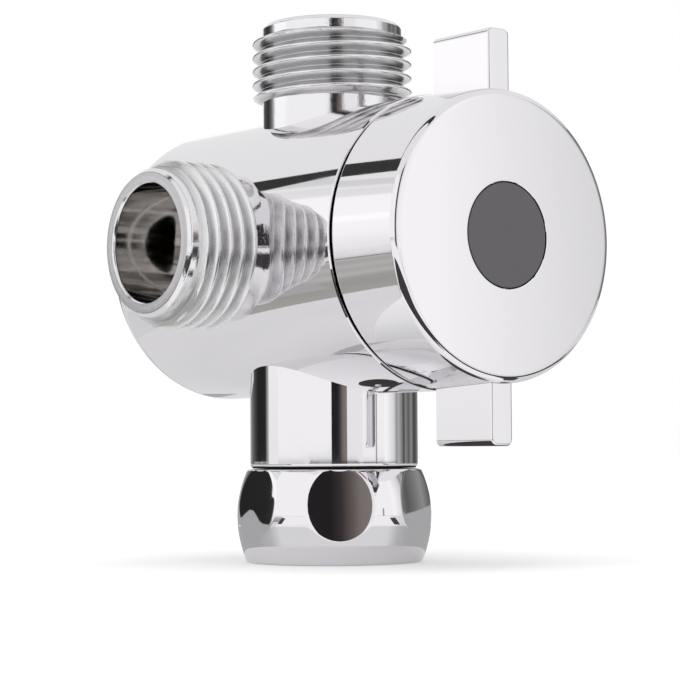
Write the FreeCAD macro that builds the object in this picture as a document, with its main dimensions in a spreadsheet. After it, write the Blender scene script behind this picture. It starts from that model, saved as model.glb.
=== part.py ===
"""Shower diverter valve: one swivel nut inlet, two threaded outlets and a turning knob.

The inlet nut screws on the shower arm. The knob turns a spindle that holds a rubber seal
against one of the two outlet ports. Sizes are in millimetres.

Frame: the origin is the centre of the inlet nut's mouth. +Z runs up the inlet and the top
outlet, the knob faces -Y and the side outlet faces -X.
"""
import FreeCAD, Part
import math
import os
import re
import Sketcher

doc = FreeCAD.newDocument("ShowerDiverterValve")

# Driving dimensions
SIZES = [
    ("body_diameter", 36.9, "barrel of the valve body"),
    ("body_front", 21.8, "port axes to the barrel's front face"),
    ("body_back", 26.3, "port axes to the barrel's closed end"),
    ("body_back_round", 3.2, "round of the closed end"),
    ("body_front_chamfer", 0.4, "bright bevel beside the knob"),
    ("neck_diameter", 22.0, "inlet neck under the barrel"),
    ("neck_drop", 27.9, "body axis down to the neck's end"),
    ("neck_chamfer", 0.4, "bevel at the neck's end"),
    ("outlet_rise", 30.3, "body axis up to the top outlet's rim"),
    ("outlet_reach", 29.7, "body axis out to the side outlet's rim"),
    ("thread_diameter", 20.955, "G 1/2 thread over its crests"),
    ("thread_length", 8.6, "threaded stretch of an outlet"),
    ("thread_bevel", 0.6, "run-in at each end of the thread"),
    ("lead_length", 1.7, "plain ring outside the thread"),
    ("lead_diameter", 18.4, "plain ring and relief beside the thread"),
    ("rim_chamfer", 0.5, "outer edge of an outlet's rim"),
    ("outlet_bore_diameter", 14.6, "polished bore in an outlet's mouth"),
    ("outlet_bore_depth", 12.0, "rim to the bore's flat floor"),
    ("port_diameter", 7.0, "port from the chamber to an outlet"),
    ("chamber_diameter", 22.0, "valve chamber"),
    ("chamber_back", 9.5, "port axes to the chamber's end wall"),
    ("chamber_front", 11.0, "port axes to the step for the gland"),
    ("gland_bore_diameter", 25.0, "threaded mouth of the chamber"),
    ("bearing_diameter", 12.0, "blind bearing for the spindle's tail"),
    ("bearing_depth", 8.0, "depth of that bearing"),
    ("passage_diameter", 12.0, "waterway of the inlet"),
    ("tailpiece_bore_diameter", 16.6, "mouth of the neck"),
    ("tailpiece_bore_depth", 7.4, "depth of that mouth"),
    ("nut_height", 12.1, "swivel nut"),
    ("nut_gap", 0.2, "running gap between nut and neck"),
    ("nut_end_diameter", 23.0, "ends of the nut"),
    ("nut_bulge", 1.2, "swell of the nut's side over its ends"),
    ("nut_edge", 0.3, "bevel at the nut's ends"),
    ("facet_distance", 11.97, "nut axis to a spanner facet at mid-height"),
    ("facet_tilt", 5.0, "lean of a facet, degrees"),
    ("facet_count", 6, "facets on the nut"),
    ("nut_lip", 2.0, "lip that the tailpiece's flange holds"),
    ("lip_bore_diameter", 16.8, "hole in the lip"),
    ("relief_diameter", 19.4, "relief above the nut's thread"),
    ("nut_thread_diameter", 18.631, "G 1/2 thread in the nut, over its crests"),
    ("nut_mouth_bevel", 0.3, "run-in at the nut's mouth"),
    ("nut_turn", -36.5, "where the loose nut stands at rest, degrees"),
    ("running_clearance", 0.05, "radial clearance of a turning fit"),
    ("thread_clearance", 0.1, "radial clearance in a screwed joint"),
    ("face_clearance", 0.05, "axial clearance of a turning face"),
    ("flange_diameter", 18.2, "tailpiece flange"),
    ("flange_thickness", 1.4, "tailpiece flange"),
    ("tail_groove_rise", 2.6, "neck's end to the middle of the ring's groove"),
    ("ring_section", 1.4, "section of the small sealing rings"),
    ("ring_room", 0.2, "spare width each side of a ring"),
    ("ring_clearance", 0.03, "gap of a ring to its walls"),
    ("washer_outer_diameter", 18.0, "inlet washer"),
    ("washer_inner_diameter", 12.6, "hole of the inlet washer"),
    ("washer_thickness", 2.0, "inlet washer"),
    ("screen_thickness", 0.5, "perforated sheet of the filter"),
    ("screen_rim_width", 0.9, "rolled rim of the filter"),
    ("screen_rim_height", 1.2, "rolled rim of the filter"),
    ("screen_hole_diameter", 1.3, "holes of the filter"),
    ("screen_hole_pitch", 2.1, "ring spacing of the holes"),
    ("gland_flange_diameter", 29.2, "flange of the gland nut"),
    ("gland_flange_thickness", 3.0, "flange of the gland nut"),
    ("gland_ring_place", 1.6, "flange to the middle of the gland ring's groove"),
    ("spanner_hole_diameter", 1.8, "two spanner holes in the gland nut"),
    ("spanner_hole_circle", 17.8, "circle of the spanner holes"),
    ("spanner_hole_depth", 1.6, "depth of the spanner holes"),
    ("journal_diameter", 14.0, "spindle in the gland"),
    ("tail_length", 7.5, "spindle's tail in its blind bearing"),
    ("waist_diameter", 10.4, "spindle in the chamber"),
    ("collar_diameter", 19.2, "thrust collar of the spindle"),
    ("collar_back", 8.6, "port axes to the collar"),
    ("collar_thickness", 2.0, "thrust collar"),
    ("thrust_washer_thickness", 0.7, "low-friction washer before the gland"),
    ("thrust_washer_width", 2.2, "radial width of that washer"),
    ("spindle_ring_section", 1.8, "section of the spindle's rings"),
    ("spindle_ring_spacing", 4.0, "one spindle ring to the next"),
    ("spindle_ring_place", 2.6, "gland's inner end to the first ring"),
    ("journal_end", 21.5, "port axes to the square drive"),
    ("drive_square", 6.4, "square end of the spindle"),
    ("drive_length", 6.8, "square end of the spindle"),
    ("drive_clearance", 0.05, "square in its socket, each side"),
    ("cup_diameter", 12.4, "cup on the spindle that holds the seal"),
    ("cup_reach", 8.7, "spindle axis to the cup's mouth"),
    ("cup_bore_diameter", 9.8, "bore of the cup"),
    ("cup_floor", 4.2, "spindle axis to the cup's floor"),
    ("seal_diameter", 9.6, "rubber port seal"),
    ("seal_back", 6.4, "spindle axis to the seal's back"),
    ("seal_pocket_diameter", 6.8, "spring pocket in the seal"),
    ("seal_pocket_depth", 1.6, "spring pocket in the seal"),
    ("seal_spring_diameter", 5.4, "port seal spring, to the wire's middle"),
    ("seal_spring_wire", 0.7, "port seal spring"),
    ("seal_spring_turns", 3, "port seal spring"),
    ("knob_gap", 0.3, "gap between body and knob"),
    ("knob_back_diameter", 36.6, "knob beside the body"),
    ("knob_taper", 0.5, "radius that the knob loses towards its rounded edge"),
    ("knob_back_chamfer", 0.3, "bevel beside the body"),
    ("knob_depth", 11.0, "knob's back edge to its face's edge"),
    ("knob_edge", 0.9, "rounded edge of the face"),
    ("knob_crown", 0.25, "swell of the face over its edge"),
    ("knob_bore_clearance", 0.9, "hollow of the knob to the gland's flange"),
    ("knob_bore_depth", 7.5, "hollow of the knob"),
    ("boss_diameter", 15.0, "boss in the knob"),
    ("boss_clearance", 0.6, "boss and rib to the gland's flange"),
    ("insert_clearance", 0.15, "insert in its recess, radial"),
    ("recess_depth", 1.4, "recess for the insert"),
    ("insert_diameter", 12.7, "dark insert in the face"),
    ("insert_bevel", 0.15, "edge of the insert"),
    ("screw_head_diameter", 7.0, "knob screw"),
    ("screw_head_height", 1.9, "knob screw"),
    ("screw_well_diameter", 7.6, "well for the screw's head"),
    ("screw_hole_diameter", 4.4, "clearance hole for the screw"),
    ("screw_core_diameter", 3.2, "screw in the spindle, at its core"),
    ("tapped_diameter", 3.3, "tapped hole of the spindle"),
    ("tapped_depth", 9.0, "tapped hole of the spindle"),
    ("screw_length", 8.0, "under the screw's head"),
    ("screw_slot_width", 0.9, "cross slot of the screw"),
    ("screw_slot_length", 4.0, "cross slot of the screw"),
    ("screw_slot_depth", 1.1, "cross slot of the screw"),
    ("wing_thickness", 3.4, "grip wings"),
    ("wing_rise", 7.0, "wing's tip above the knob's back edge"),
    ("wing_root_skin", 0.3, "hollow of the knob to a wing's root in the wall"),
    ("wing_depth", 10.0, "wings along the knob's axis"),
    ("wing_tip_round", 0.8, "corners of a wing's tip"),
    ("wing_edge_round", 0.3, "front edges of the wings"),
    ("track_inset", 2.4, "gland's edge to the circle of detent ball and stop pin"),
    ("ball_diameter", 3.0, "detent ball"),
    ("ball_sink", 0.55, "ball below the gland's face"),
    ("track_clearance", 0.05, "ball to its track"),
    ("track_sweep", 200.0, "arc of the ball's track, degrees"),
    ("dimple_diameter", 2.2, "click stops in the track"),
    ("dimple_depth", 0.9, "click stops below the gland's face"),
    ("dimple_count", 3, "click stops"),
    ("ball_pocket_clearance", 0.05, "ball in its pocket, radial"),
    ("ball_pocket_depth", 4.6, "pocket from the rib's face"),
    ("detent_spring_wire", 0.35, "detent spring"),
    ("detent_spring_turns", 5, "detent spring"),
    ("pin_diameter", 2.0, "stop pin"),
    ("pin_sink", 2.2, "stop pin in the gland"),
    ("pin_rise", 3.6, "stop pin above the gland"),
    ("pin_clearance", 0.02, "stop pin in its hole, radial"),
    ("knob_travel", 90.0, "turn each way from the middle, degrees"),
    ("stop_gap", 0.8, "rib to pin at the end of the turn, degrees"),
    ("rib_width", 4.2, "stop rib in the knob"),
]

sheet = doc.addObject("Spreadsheet::Sheet", "sizes")
for row, (alias, number, note) in enumerate(SIZES, start=1):
    sheet.set(f"A{row}", alias)
    sheet.set(f"B{row}", str(number))
    sheet.set(f"C{row}", note)
    sheet.setAlias(f"B{row}", alias)
doc.recompute()

ALIAS_WORDS = re.compile(r"\b(" + "|".join(alias for alias, number, note in SIZES) + r")\b")


def bound(text):
    """An expression in the sheet's words, with the sheet's name before each alias."""
    return ALIAS_WORDS.sub(r"sizes.\1", text)


def value(text):
    """The present number of an expression."""
    found = sheet.evalExpression(bound(text))
    return float(getattr(found, "Value", found))


# Places worked out from the driving dimensions
AXIS_HEIGHT = "(nut_height + nut_gap + neck_drop)"
GLAND_FACE = "(body_front + gland_flange_thickness)"
GLAND_INNER = "(collar_back + collar_thickness + 2 * face_clearance + thrust_washer_thickness)"
KNOB_BACK = "(body_front + knob_gap)"
KNOB_EDGE_FACE = "(body_front + knob_gap + knob_depth)"
KNOB_FLOOR = "(body_front + knob_gap + knob_bore_depth)"
DRIVE_END = "(journal_end + drive_length)"
RECESS_FLOOR = "(body_front + knob_gap + knob_depth + knob_crown - recess_depth)"
SCREW_SEAT = f"({RECESS_FLOOR} - screw_head_height - 0.1)"
BOSS_END = f"({GLAND_FACE} + boss_clearance)"
BALL_PLACE = f"({GLAND_FACE} + ball_diameter / 2 - ball_sink)"
TRACK_RADIUS = "(gland_flange_diameter / 2 - track_inset)"
FLANGE_TOP = "(nut_height - nut_lip - face_clearance)"
WASHER_TOP = f"({FLANGE_TOP} - flange_thickness)"
WASHER_BOTTOM = f"({WASHER_TOP} - washer_thickness)"


def attach(body, name, plane_role, offset=None):
    """A sketch on one of the body's origin planes, moved out along the plane's normal."""
    sketch = body.newObject("Sketcher::SketchObject", name)
    plane = [item for item in body.Origin.OriginFeatures if item.Role == plane_role][0]
    sketch.AttachmentSupport = [(plane, "")]
    sketch.MapMode = "FlatFace"
    if offset is not None:
        sketch.setExpression("AttachmentOffset.Base.z", bound(offset))
    return sketch


def fix_point(sketch, geometry, end, x_text, y_text):
    """Holds one end of a line or arc, or a circle's centre, at a place given by expressions."""
    for kind, text, axis in (("DistanceX", x_text, -2), ("DistanceY", y_text, -1)):
        if text == "0":
            sketch.addConstraint(Sketcher.Constraint("PointOnObject", geometry, end, axis))
            continue
        index = sketch.addConstraint(
            Sketcher.Constraint(kind, -1, 1, geometry, end, value(text))
        )
        sketch.setExpression(f"Constraints[{index}]", bound(text))


def outline(sketch, corners):
    """A closed outline through corners (x, y), or (x, y, radius) to arrive on an outward arc.

    Corners run anticlockwise, so an arc to a corner bulges to the right of its chord.
    """
    places = [FreeCAD.Vector(value(corner[0]), value(corner[1]), 0) for corner in corners]
    edges = []
    for number, corner in enumerate(corners):
        start, stop = places[number - 1], places[number]
        if len(corner) == 2:
            edges.append(sketch.addGeometry(Part.LineSegment(start, stop), False))
            continue
        radius = value(corner[2])
        chord = stop - start
        inward = FreeCAD.Vector(-chord.y, chord.x, 0).normalize()
        centre = (start + stop) * 0.5 + inward * math.sqrt(radius ** 2 - chord.Length ** 2 / 4)
        first = math.atan2(start.y - centre.y, start.x - centre.x)
        last = math.atan2(stop.y - centre.y, stop.x - centre.x)
        if last < first:
            last += 2 * math.pi
        circle = Part.Circle(centre, FreeCAD.Vector(0, 0, 1), radius)
        edges.append(sketch.addGeometry(Part.ArcOfCircle(circle, first, last), False))
    for number, corner in enumerate(corners):
        after = edges[(number + 1) % len(edges)]
        sketch.addConstraint(Sketcher.Constraint("Coincident", edges[number], 2, after, 1))
        fix_point(sketch, edges[number], 2, corner[0], corner[1])
        if len(corner) == 3:
            index = sketch.addConstraint(
                Sketcher.Constraint("Radius", edges[number], value(corner[2]))
            )
            sketch.setExpression(f"Constraints[{index}]", bound(corner[2]))


def circle_in(sketch, x_text, y_text, radius_text):
    """A circle with its centre and radius given by expressions."""
    centre = FreeCAD.Vector(value(x_text), value(y_text), 0)
    normal = FreeCAD.Vector(0, 0, 1)
    geometry = sketch.addGeometry(Part.Circle(centre, normal, value(radius_text)), False)
    if x_text == "0" and y_text == "0":
        sketch.addConstraint(Sketcher.Constraint("Coincident", geometry, 3, -1, 1))
    else:
        fix_point(sketch, geometry, 3, x_text, y_text)
    index = sketch.addConstraint(Sketcher.Constraint("Radius", geometry, value(radius_text)))
    sketch.setExpression(f"Constraints[{index}]", bound(radius_text))


def box_in(sketch, low_x, low_y, high_x, high_y):
    """A rectangle between two corners."""
    outline(sketch, [(low_x, low_y), (high_x, low_y), (high_x, high_y), (low_x, high_y)])


def turned(body, name, kind, plane_role, corners, axis="V_Axis", angle=None):
    """A Revolution or Groove of an outline about an axis of its sketch."""
    sketch = attach(body, name + "Profile", plane_role)
    outline(sketch, corners)
    feature = body.newObject(kind, name)
    feature.Profile = sketch
    feature.ReferenceAxis = (sketch, [axis])
    if angle is None:
        feature.Angle = 360
    else:
        feature.setExpression("Angle", bound(angle))
        feature.Midplane = True
    return feature


def sunk(body, name, sketch, depth, reverse=False):
    """A Pocket of a given depth."""
    feature = body.newObject("PartDesign::Pocket", name)
    feature.Profile = sketch
    feature.setExpression("Length", bound(depth))
    feature.Reversed = reverse
    return feature


def raised(body, name, sketch, length, reverse=False):
    """A Pad of a given length."""
    feature = body.newObject("PartDesign::Pad", name)
    feature.Profile = sketch
    feature.setExpression("Length", bound(length))
    feature.Reversed = reverse
    return feature


def ringed(body, name, feature, count, angle=None, axis_role="Z_Axis"):
    """Copies of a feature about one of the body's axes."""
    pattern = body.newObject("PartDesign::PolarPattern", name)
    pattern.Originals = [feature]
    axis = [item for item in body.Origin.OriginFeatures if item.Role == axis_role][0]
    pattern.Axis = (axis, [""])
    pattern.Angle = 360 if angle is None else angle
    pattern.setExpression("Occurrences", bound(count))
    body.Tip = pattern
    return pattern


def edges_where(feature, test):
    """Names of a feature's edges whose middle passes a test."""
    names = []
    for number, edge in enumerate(feature.Shape.Edges, start=1):
        middle = edge.valueAt((edge.FirstParameter + edge.LastParameter) / 2)
        if test(edge, middle):
            names.append(f"Edge{number}")
    return names


def new_body(label):
    """An empty body, named and labelled after its piece."""
    body = doc.addObject("PartDesign::Body", label)
    body.Label = label
    return body


def on_body_axis(piece):
    """Places a piece modelled about the port crossing, unturned."""
    piece.setExpression("Placement.Base.z", bound(AXIS_HEIGHT))


def on_knob_axis(piece):
    """Places a piece modelled along +Z so that it points out of the body's front, to -Y."""
    piece.Placement = FreeCAD.Placement(
        FreeCAD.Vector(0, 0, value(AXIS_HEIGHT)), FreeCAD.Rotation(FreeCAD.Vector(1, 0, 0), 90)
    )
    piece.setExpression("Placement.Base.z", bound(AXIS_HEIGHT))


# Valve body: one brass casting, turned and bored, with both outlets and the inlet neck
valve_body = new_body("valve_body")
barrel = turned(valve_body, "Barrel", "PartDesign::Revolution", "YZ_Plane", [
    ("-body_front", "0"),
    ("body_back", "0"),
    ("body_back", "body_diameter / 2"),
    ("-body_front + body_front_chamfer", "body_diameter / 2"),
    ("-body_front", "body_diameter / 2 - body_front_chamfer"),
], axis="H_Axis")
doc.recompute()
barrel_end = valve_body.newObject("PartDesign::Fillet", "BarrelEnd")
rear = value("body_back")
barrel_end.Base = (barrel, edges_where(
    barrel, lambda edge, middle: abs(middle.y - rear) < 1e-6 and edge.Closed
))
barrel_end.setExpression("Radius", bound("body_back_round"))
valve_body.Tip = barrel_end

turned(valve_body, "Neck", "PartDesign::Revolution", "XZ_Plane", [
    ("0", "-neck_drop"),
    ("neck_diameter / 2 - neck_chamfer", "-neck_drop"),
    ("neck_diameter / 2", "-neck_drop + neck_chamfer"),
    ("neck_diameter / 2", "0"),
    ("0", "0"),
])


def outlet_outline(reach):
    """Half section of an outlet, as (radius, distance) corners from the rim inwards."""
    thread_start = f"{reach} - lead_length"
    thread_end = f"{reach} - lead_length - thread_length"
    return [
        ("0", "0"),
        ("lead_diameter / 2", "0"),
        ("lead_diameter / 2", thread_end),
        ("thread_diameter / 2", f"{thread_end} + thread_bevel"),
        ("thread_diameter / 2", f"{thread_start} - thread_bevel"),
        ("lead_diameter / 2", thread_start),
        ("lead_diameter / 2", f"{reach} - rim_chamfer"),
        ("lead_diameter / 2 - rim_chamfer", reach),
        ("0", reach),
    ]


def outlet_bore_outline(reach):
    """Half section of an outlet's bore and port, from beyond the rim to the chamber."""
    floor = f"{reach} - outlet_bore_depth"
    return [
        ("0", "chamber_diameter / 4"),
        ("port_diameter / 2", "chamber_diameter / 4"),
        ("port_diameter / 2", floor),
        ("outlet_bore_diameter / 2", floor),
        ("outlet_bore_diameter / 2", f"{reach} + rim_chamfer"),
        ("0", f"{reach} + rim_chamfer"),
    ]


def turned_to_side(corners):
    """The same section lying along -X, its corners still anticlockwise."""
    return [(f"-({far})" if far != "0" else "0", radius) for radius, far in corners]


turned(valve_body, "TopOutlet", "PartDesign::Revolution", "XZ_Plane",
       outlet_outline("outlet_rise"))
turned(valve_body, "SideOutlet", "PartDesign::Revolution", "XZ_Plane",
       turned_to_side(outlet_outline("outlet_reach")), axis="H_Axis")
turned(valve_body, "Chamber", "PartDesign::Groove", "YZ_Plane", [
    ("-body_front - body_front_chamfer", "0"),
    ("chamber_back + bearing_depth", "0"),
    ("chamber_back + bearing_depth", "bearing_diameter / 2"),
    ("chamber_back", "bearing_diameter / 2"),
    ("chamber_back", "chamber_diameter / 2"),
    ("-chamber_front", "chamber_diameter / 2"),
    ("-chamber_front", "gland_bore_diameter / 2"),
    ("-body_front - body_front_chamfer", "gland_bore_diameter / 2"),
], axis="H_Axis")
turned(valve_body, "InletPassage", "PartDesign::Groove", "XZ_Plane", [
    ("0", "-neck_drop - neck_chamfer"),
    ("tailpiece_bore_diameter / 2", "-neck_drop - neck_chamfer"),
    ("tailpiece_bore_diameter / 2", "-neck_drop + tailpiece_bore_depth"),
    ("passage_diameter / 2", "-neck_drop + tailpiece_bore_depth"),
    ("passage_diameter / 2", "-chamber_diameter / 4"),
    ("0", "-chamber_diameter / 4"),
])
turned(valve_body, "TopBore", "PartDesign::Groove", "XZ_Plane",
       outlet_bore_outline("outlet_rise"))
turned(valve_body, "SideBore", "PartDesign::Groove", "XZ_Plane",
       turned_to_side(outlet_bore_outline("outlet_reach")), axis="H_Axis")
on_body_axis(valve_body)

# Inlet tailpiece: a turned brass bush screwed into the neck, whose flange keeps the nut on
GROOVE_MIDDLE = "(nut_height + nut_gap + tail_groove_rise)"
TAIL_RADIUS = "(tailpiece_bore_diameter / 2 - thread_clearance)"
TAIL_RING_RADIUS = "(tailpiece_bore_diameter / 2 - ring_clearance - ring_section / 2)"
tailpiece = new_body("inlet_tailpiece")
turned(tailpiece, "Bush", "PartDesign::Revolution", "XZ_Plane", [
    ("passage_diameter / 2", WASHER_TOP),
    ("flange_diameter / 2", WASHER_TOP),
    ("flange_diameter / 2", FLANGE_TOP),
    (TAIL_RADIUS, FLANGE_TOP),
    (TAIL_RADIUS, f"{GROOVE_MIDDLE} - ring_section / 2 - ring_room"),
    (f"{TAIL_RING_RADIUS} - ring_section / 2 - ring_clearance",
     f"{GROOVE_MIDDLE} - ring_section / 2 - ring_room"),
    (f"{TAIL_RING_RADIUS} - ring_section / 2 - ring_clearance",
     f"{GROOVE_MIDDLE} + ring_section / 2 + ring_room"),
    (TAIL_RADIUS, f"{GROOVE_MIDDLE} + ring_section / 2 + ring_room"),
    (TAIL_RADIUS, "nut_height + nut_gap + tailpiece_bore_depth"),
    ("passage_diameter / 2", "nut_height + nut_gap + tailpiece_bore_depth"),
])


def sealing_ring(label, radius, section, place):
    """A rubber ring about +Z at a height."""
    ring = doc.addObject("Part::Torus", label)
    ring.Label = label
    ring.setExpression("Radius1", bound(radius))
    ring.setExpression("Radius2", bound(section + " / 2"))
    ring.setExpression("Placement.Base.z", bound(place))
    return ring


sealing_ring("tailpiece_o_ring", TAIL_RING_RADIUS, "ring_section", GROOVE_MIDDLE)

# Swivel nut: a turned and plated brass nut, swelling at mid-height, with leaning spanner facets
BULGE_CHORD = "(nut_height - 2 * nut_edge)"
BULGE_RADIUS = f"(({BULGE_CHORD} ^ 2 / 4 + nut_bulge ^ 2) / (2 * nut_bulge))"
swivel_nut = new_body("swivel_nut")
turned(swivel_nut, "NutBlank", "PartDesign::Revolution", "XZ_Plane", [
    ("nut_thread_diameter / 2 + nut_mouth_bevel", "0"),
    ("nut_end_diameter / 2 - nut_edge", "0"),
    ("nut_end_diameter / 2", "nut_edge"),
    ("nut_end_diameter / 2", "nut_height - nut_edge", BULGE_RADIUS),
    ("nut_end_diameter / 2 - nut_edge", "nut_height"),
    ("lip_bore_diameter / 2", "nut_height"),
    ("lip_bore_diameter / 2", "nut_height - nut_lip"),
    ("relief_diameter / 2", "nut_height - nut_lip"),
    ("relief_diameter / 2", f"{WASHER_BOTTOM} - face_clearance"),
    ("nut_thread_diameter / 2", f"{WASHER_BOTTOM} - face_clearance"),
    ("nut_thread_diameter / 2", "nut_mouth_bevel"),
])
FACET_LEAN = "(nut_height / 2 * tan(facet_tilt * 1 deg))"
facet_sketch = attach(swivel_nut, "FacetProfile", "YZ_Plane")
outline(facet_sketch, [
    (f"-facet_distance - {FACET_LEAN}", "0"),
    (f"-facet_distance + {FACET_LEAN}", "nut_height"),
    ("-nut_end_diameter", "nut_height"),
    ("-nut_end_diameter", "0"),
])
facet = swivel_nut.newObject("PartDesign::Pocket", "Facet")
facet.Profile = facet_sketch
facet.setExpression("Length", bound("nut_end_diameter"))
facet.Midplane = True
ringed(swivel_nut, "Facets", facet, "facet_count")
swivel_nut.Placement.Rotation = FreeCAD.Rotation(FreeCAD.Vector(0, 0, 1), value("nut_turn"))
swivel_nut.setExpression("Placement.Rotation.Angle", bound("nut_turn"))

# Inlet washer: a flat rubber ring that the shower arm's end presses on
washer = new_body("inlet_washer")
turned(washer, "WasherRing", "PartDesign::Revolution", "XZ_Plane", [
    ("washer_inner_diameter / 2", WASHER_BOTTOM),
    ("washer_outer_diameter / 2", WASHER_BOTTOM),
    ("washer_outer_diameter / 2", WASHER_TOP),
    ("washer_inner_diameter / 2", WASHER_TOP),
])

# Filter screen: a pierced steel sheet with a rolled rim, clipped in the washer's hole
SCREEN_MIDDLE = f"({WASHER_BOTTOM} + washer_thickness / 2)"
SCREEN_RADIUS = "(washer_inner_diameter / 2 - running_clearance)"
screen = new_body("filter_screen")
turned(screen, "Sheet", "PartDesign::Revolution", "XZ_Plane", [
    ("0", f"{SCREEN_MIDDLE} - screen_thickness / 2"),
    (f"{SCREEN_RADIUS} - screen_rim_width", f"{SCREEN_MIDDLE} - screen_thickness / 2"),
    (f"{SCREEN_RADIUS} - screen_rim_width", f"{SCREEN_MIDDLE} - screen_rim_height / 2"),
    (SCREEN_RADIUS, f"{SCREEN_MIDDLE} - screen_rim_height / 2"),
    (SCREEN_RADIUS, f"{SCREEN_MIDDLE} + screen_rim_height / 2"),
    (f"{SCREEN_RADIUS} - screen_rim_width", f"{SCREEN_MIDDLE} + screen_rim_height / 2"),
    (f"{SCREEN_RADIUS} - screen_rim_width", f"{SCREEN_MIDDLE} + screen_thickness / 2"),
    ("0", f"{SCREEN_MIDDLE} + screen_thickness / 2"),
])
HOLE_DEPTH = "screen_rim_height"
HOLE_START = f"({SCREEN_MIDDLE} + screen_rim_height / 2)"
middle_sketch = attach(screen, "MiddleHoleProfile", "XY_Plane", HOLE_START)
circle_in(middle_sketch, "0", "0", "screen_hole_diameter / 2")
sunk(screen, "MiddleHole", middle_sketch, HOLE_DEPTH)
for ring_number in (1, 2):
    ring_sketch = attach(screen, f"HoleRing{ring_number}Profile", "XY_Plane", HOLE_START)
    circle_in(ring_sketch, f"{ring_number} * screen_hole_pitch", "0", "screen_hole_diameter / 2")
    hole = sunk(screen, f"Hole{ring_number}", ring_sketch, HOLE_DEPTH)
    ringed(screen, f"HoleRing{ring_number}", hole, f"{6 * ring_number}")

# Gland nut: a brass plug screwed into the chamber's mouth that keeps the spindle in
GLAND_RADIUS = "(gland_bore_diameter / 2 - thread_clearance)"
GLAND_RING_PLACE = "(body_front - gland_ring_place)"
GLAND_RING_RADIUS = "(gland_bore_diameter / 2 - ring_clearance - ring_section / 2)"
GLAND_GROOVE = f"({GLAND_RING_RADIUS} - ring_section / 2 - ring_clearance)"
JOURNAL_BORE = "(journal_diameter / 2 + running_clearance)"
gland = new_body("gland_nut")
turned(gland, "GlandBlank", "PartDesign::Revolution", "XZ_Plane", [
    (JOURNAL_BORE, GLAND_INNER),
    (GLAND_RADIUS, GLAND_INNER),
    (GLAND_RADIUS, f"{GLAND_RING_PLACE} - ring_section / 2 - ring_room"),
    (GLAND_GROOVE, f"{GLAND_RING_PLACE} - ring_section / 2 - ring_room"),
    (GLAND_GROOVE, f"{GLAND_RING_PLACE} + ring_section / 2 + ring_room"),
    (GLAND_RADIUS, f"{GLAND_RING_PLACE} + ring_section / 2 + ring_room"),
    (GLAND_RADIUS, "body_front"),
    ("gland_flange_diameter / 2", "body_front"),
    ("gland_flange_diameter / 2", GLAND_FACE),
    (JOURNAL_BORE, GLAND_FACE),
])
track_sketch = attach(gland, "BallTrackProfile", "YZ_Plane")
circle_in(track_sketch, TRACK_RADIUS, BALL_PLACE, "ball_diameter / 2 + track_clearance")
track = gland.newObject("PartDesign::Groove", "BallTrack")
track.Profile = track_sketch
track.ReferenceAxis = (track_sketch, ["V_Axis"])
track.setExpression("Angle", bound("track_sweep"))
track.Midplane = True
dimple_sketch = attach(gland, "DimpleProfile", "XY_Plane", GLAND_FACE)
circle_in(dimple_sketch, TRACK_RADIUS, "0", "dimple_diameter / 2")
dimple = sunk(gland, "Dimple", dimple_sketch, "dimple_depth")
ringed(gland, "Dimples", dimple, "dimple_count", angle=180)
pin_hole_sketch = attach(gland, "PinHoleProfile", "XY_Plane", GLAND_FACE)
circle_in(pin_hole_sketch, "0", f"-{TRACK_RADIUS}", "pin_diameter / 2 + pin_clearance")
sunk(gland, "PinHole", pin_hole_sketch, "pin_sink")
spanner_sketch = attach(gland, "SpannerHoleProfile", "XY_Plane", GLAND_FACE)
for side in ("", "-"):
    circle_in(spanner_sketch, f"{side}spanner_hole_circle / 2", "0", "spanner_hole_diameter / 2")
sunk(gland, "SpannerHoles", spanner_sketch, "spanner_hole_depth")
on_knob_axis(gland)


def ring_on_knob_axis(label, radius, section, place):
    """A rubber ring about the knob's axis, at a distance in front of the port axes."""
    ring = sealing_ring(label, radius, section, AXIS_HEIGHT)
    ring.Placement = FreeCAD.Placement(
        FreeCAD.Vector(0, 0, 0), FreeCAD.Rotation(FreeCAD.Vector(1, 0, 0), 90)
    )
    ring.setExpression("Placement.Base.y", bound(f"-{place}"))
    ring.setExpression("Placement.Base.z", bound(AXIS_HEIGHT))
    return ring


ring_on_knob_axis("gland_o_ring", GLAND_RING_RADIUS, "ring_section", GLAND_RING_PLACE)

# Thrust washer: a low-friction disc between the spindle's collar and the gland
THRUST_BACK = "(collar_back + collar_thickness + face_clearance)"
thrust_washer = new_body("thrust_washer")
turned(thrust_washer, "ThrustRing", "PartDesign::Revolution", "XZ_Plane", [
    (f"{JOURNAL_BORE}", THRUST_BACK),
    (f"{JOURNAL_BORE} + thrust_washer_width", THRUST_BACK),
    (f"{JOURNAL_BORE} + thrust_washer_width", f"{THRUST_BACK} + thrust_washer_thickness"),
    (f"{JOURNAL_BORE}", f"{THRUST_BACK} + thrust_washer_thickness"),
])
on_knob_axis(thrust_washer)

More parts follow.
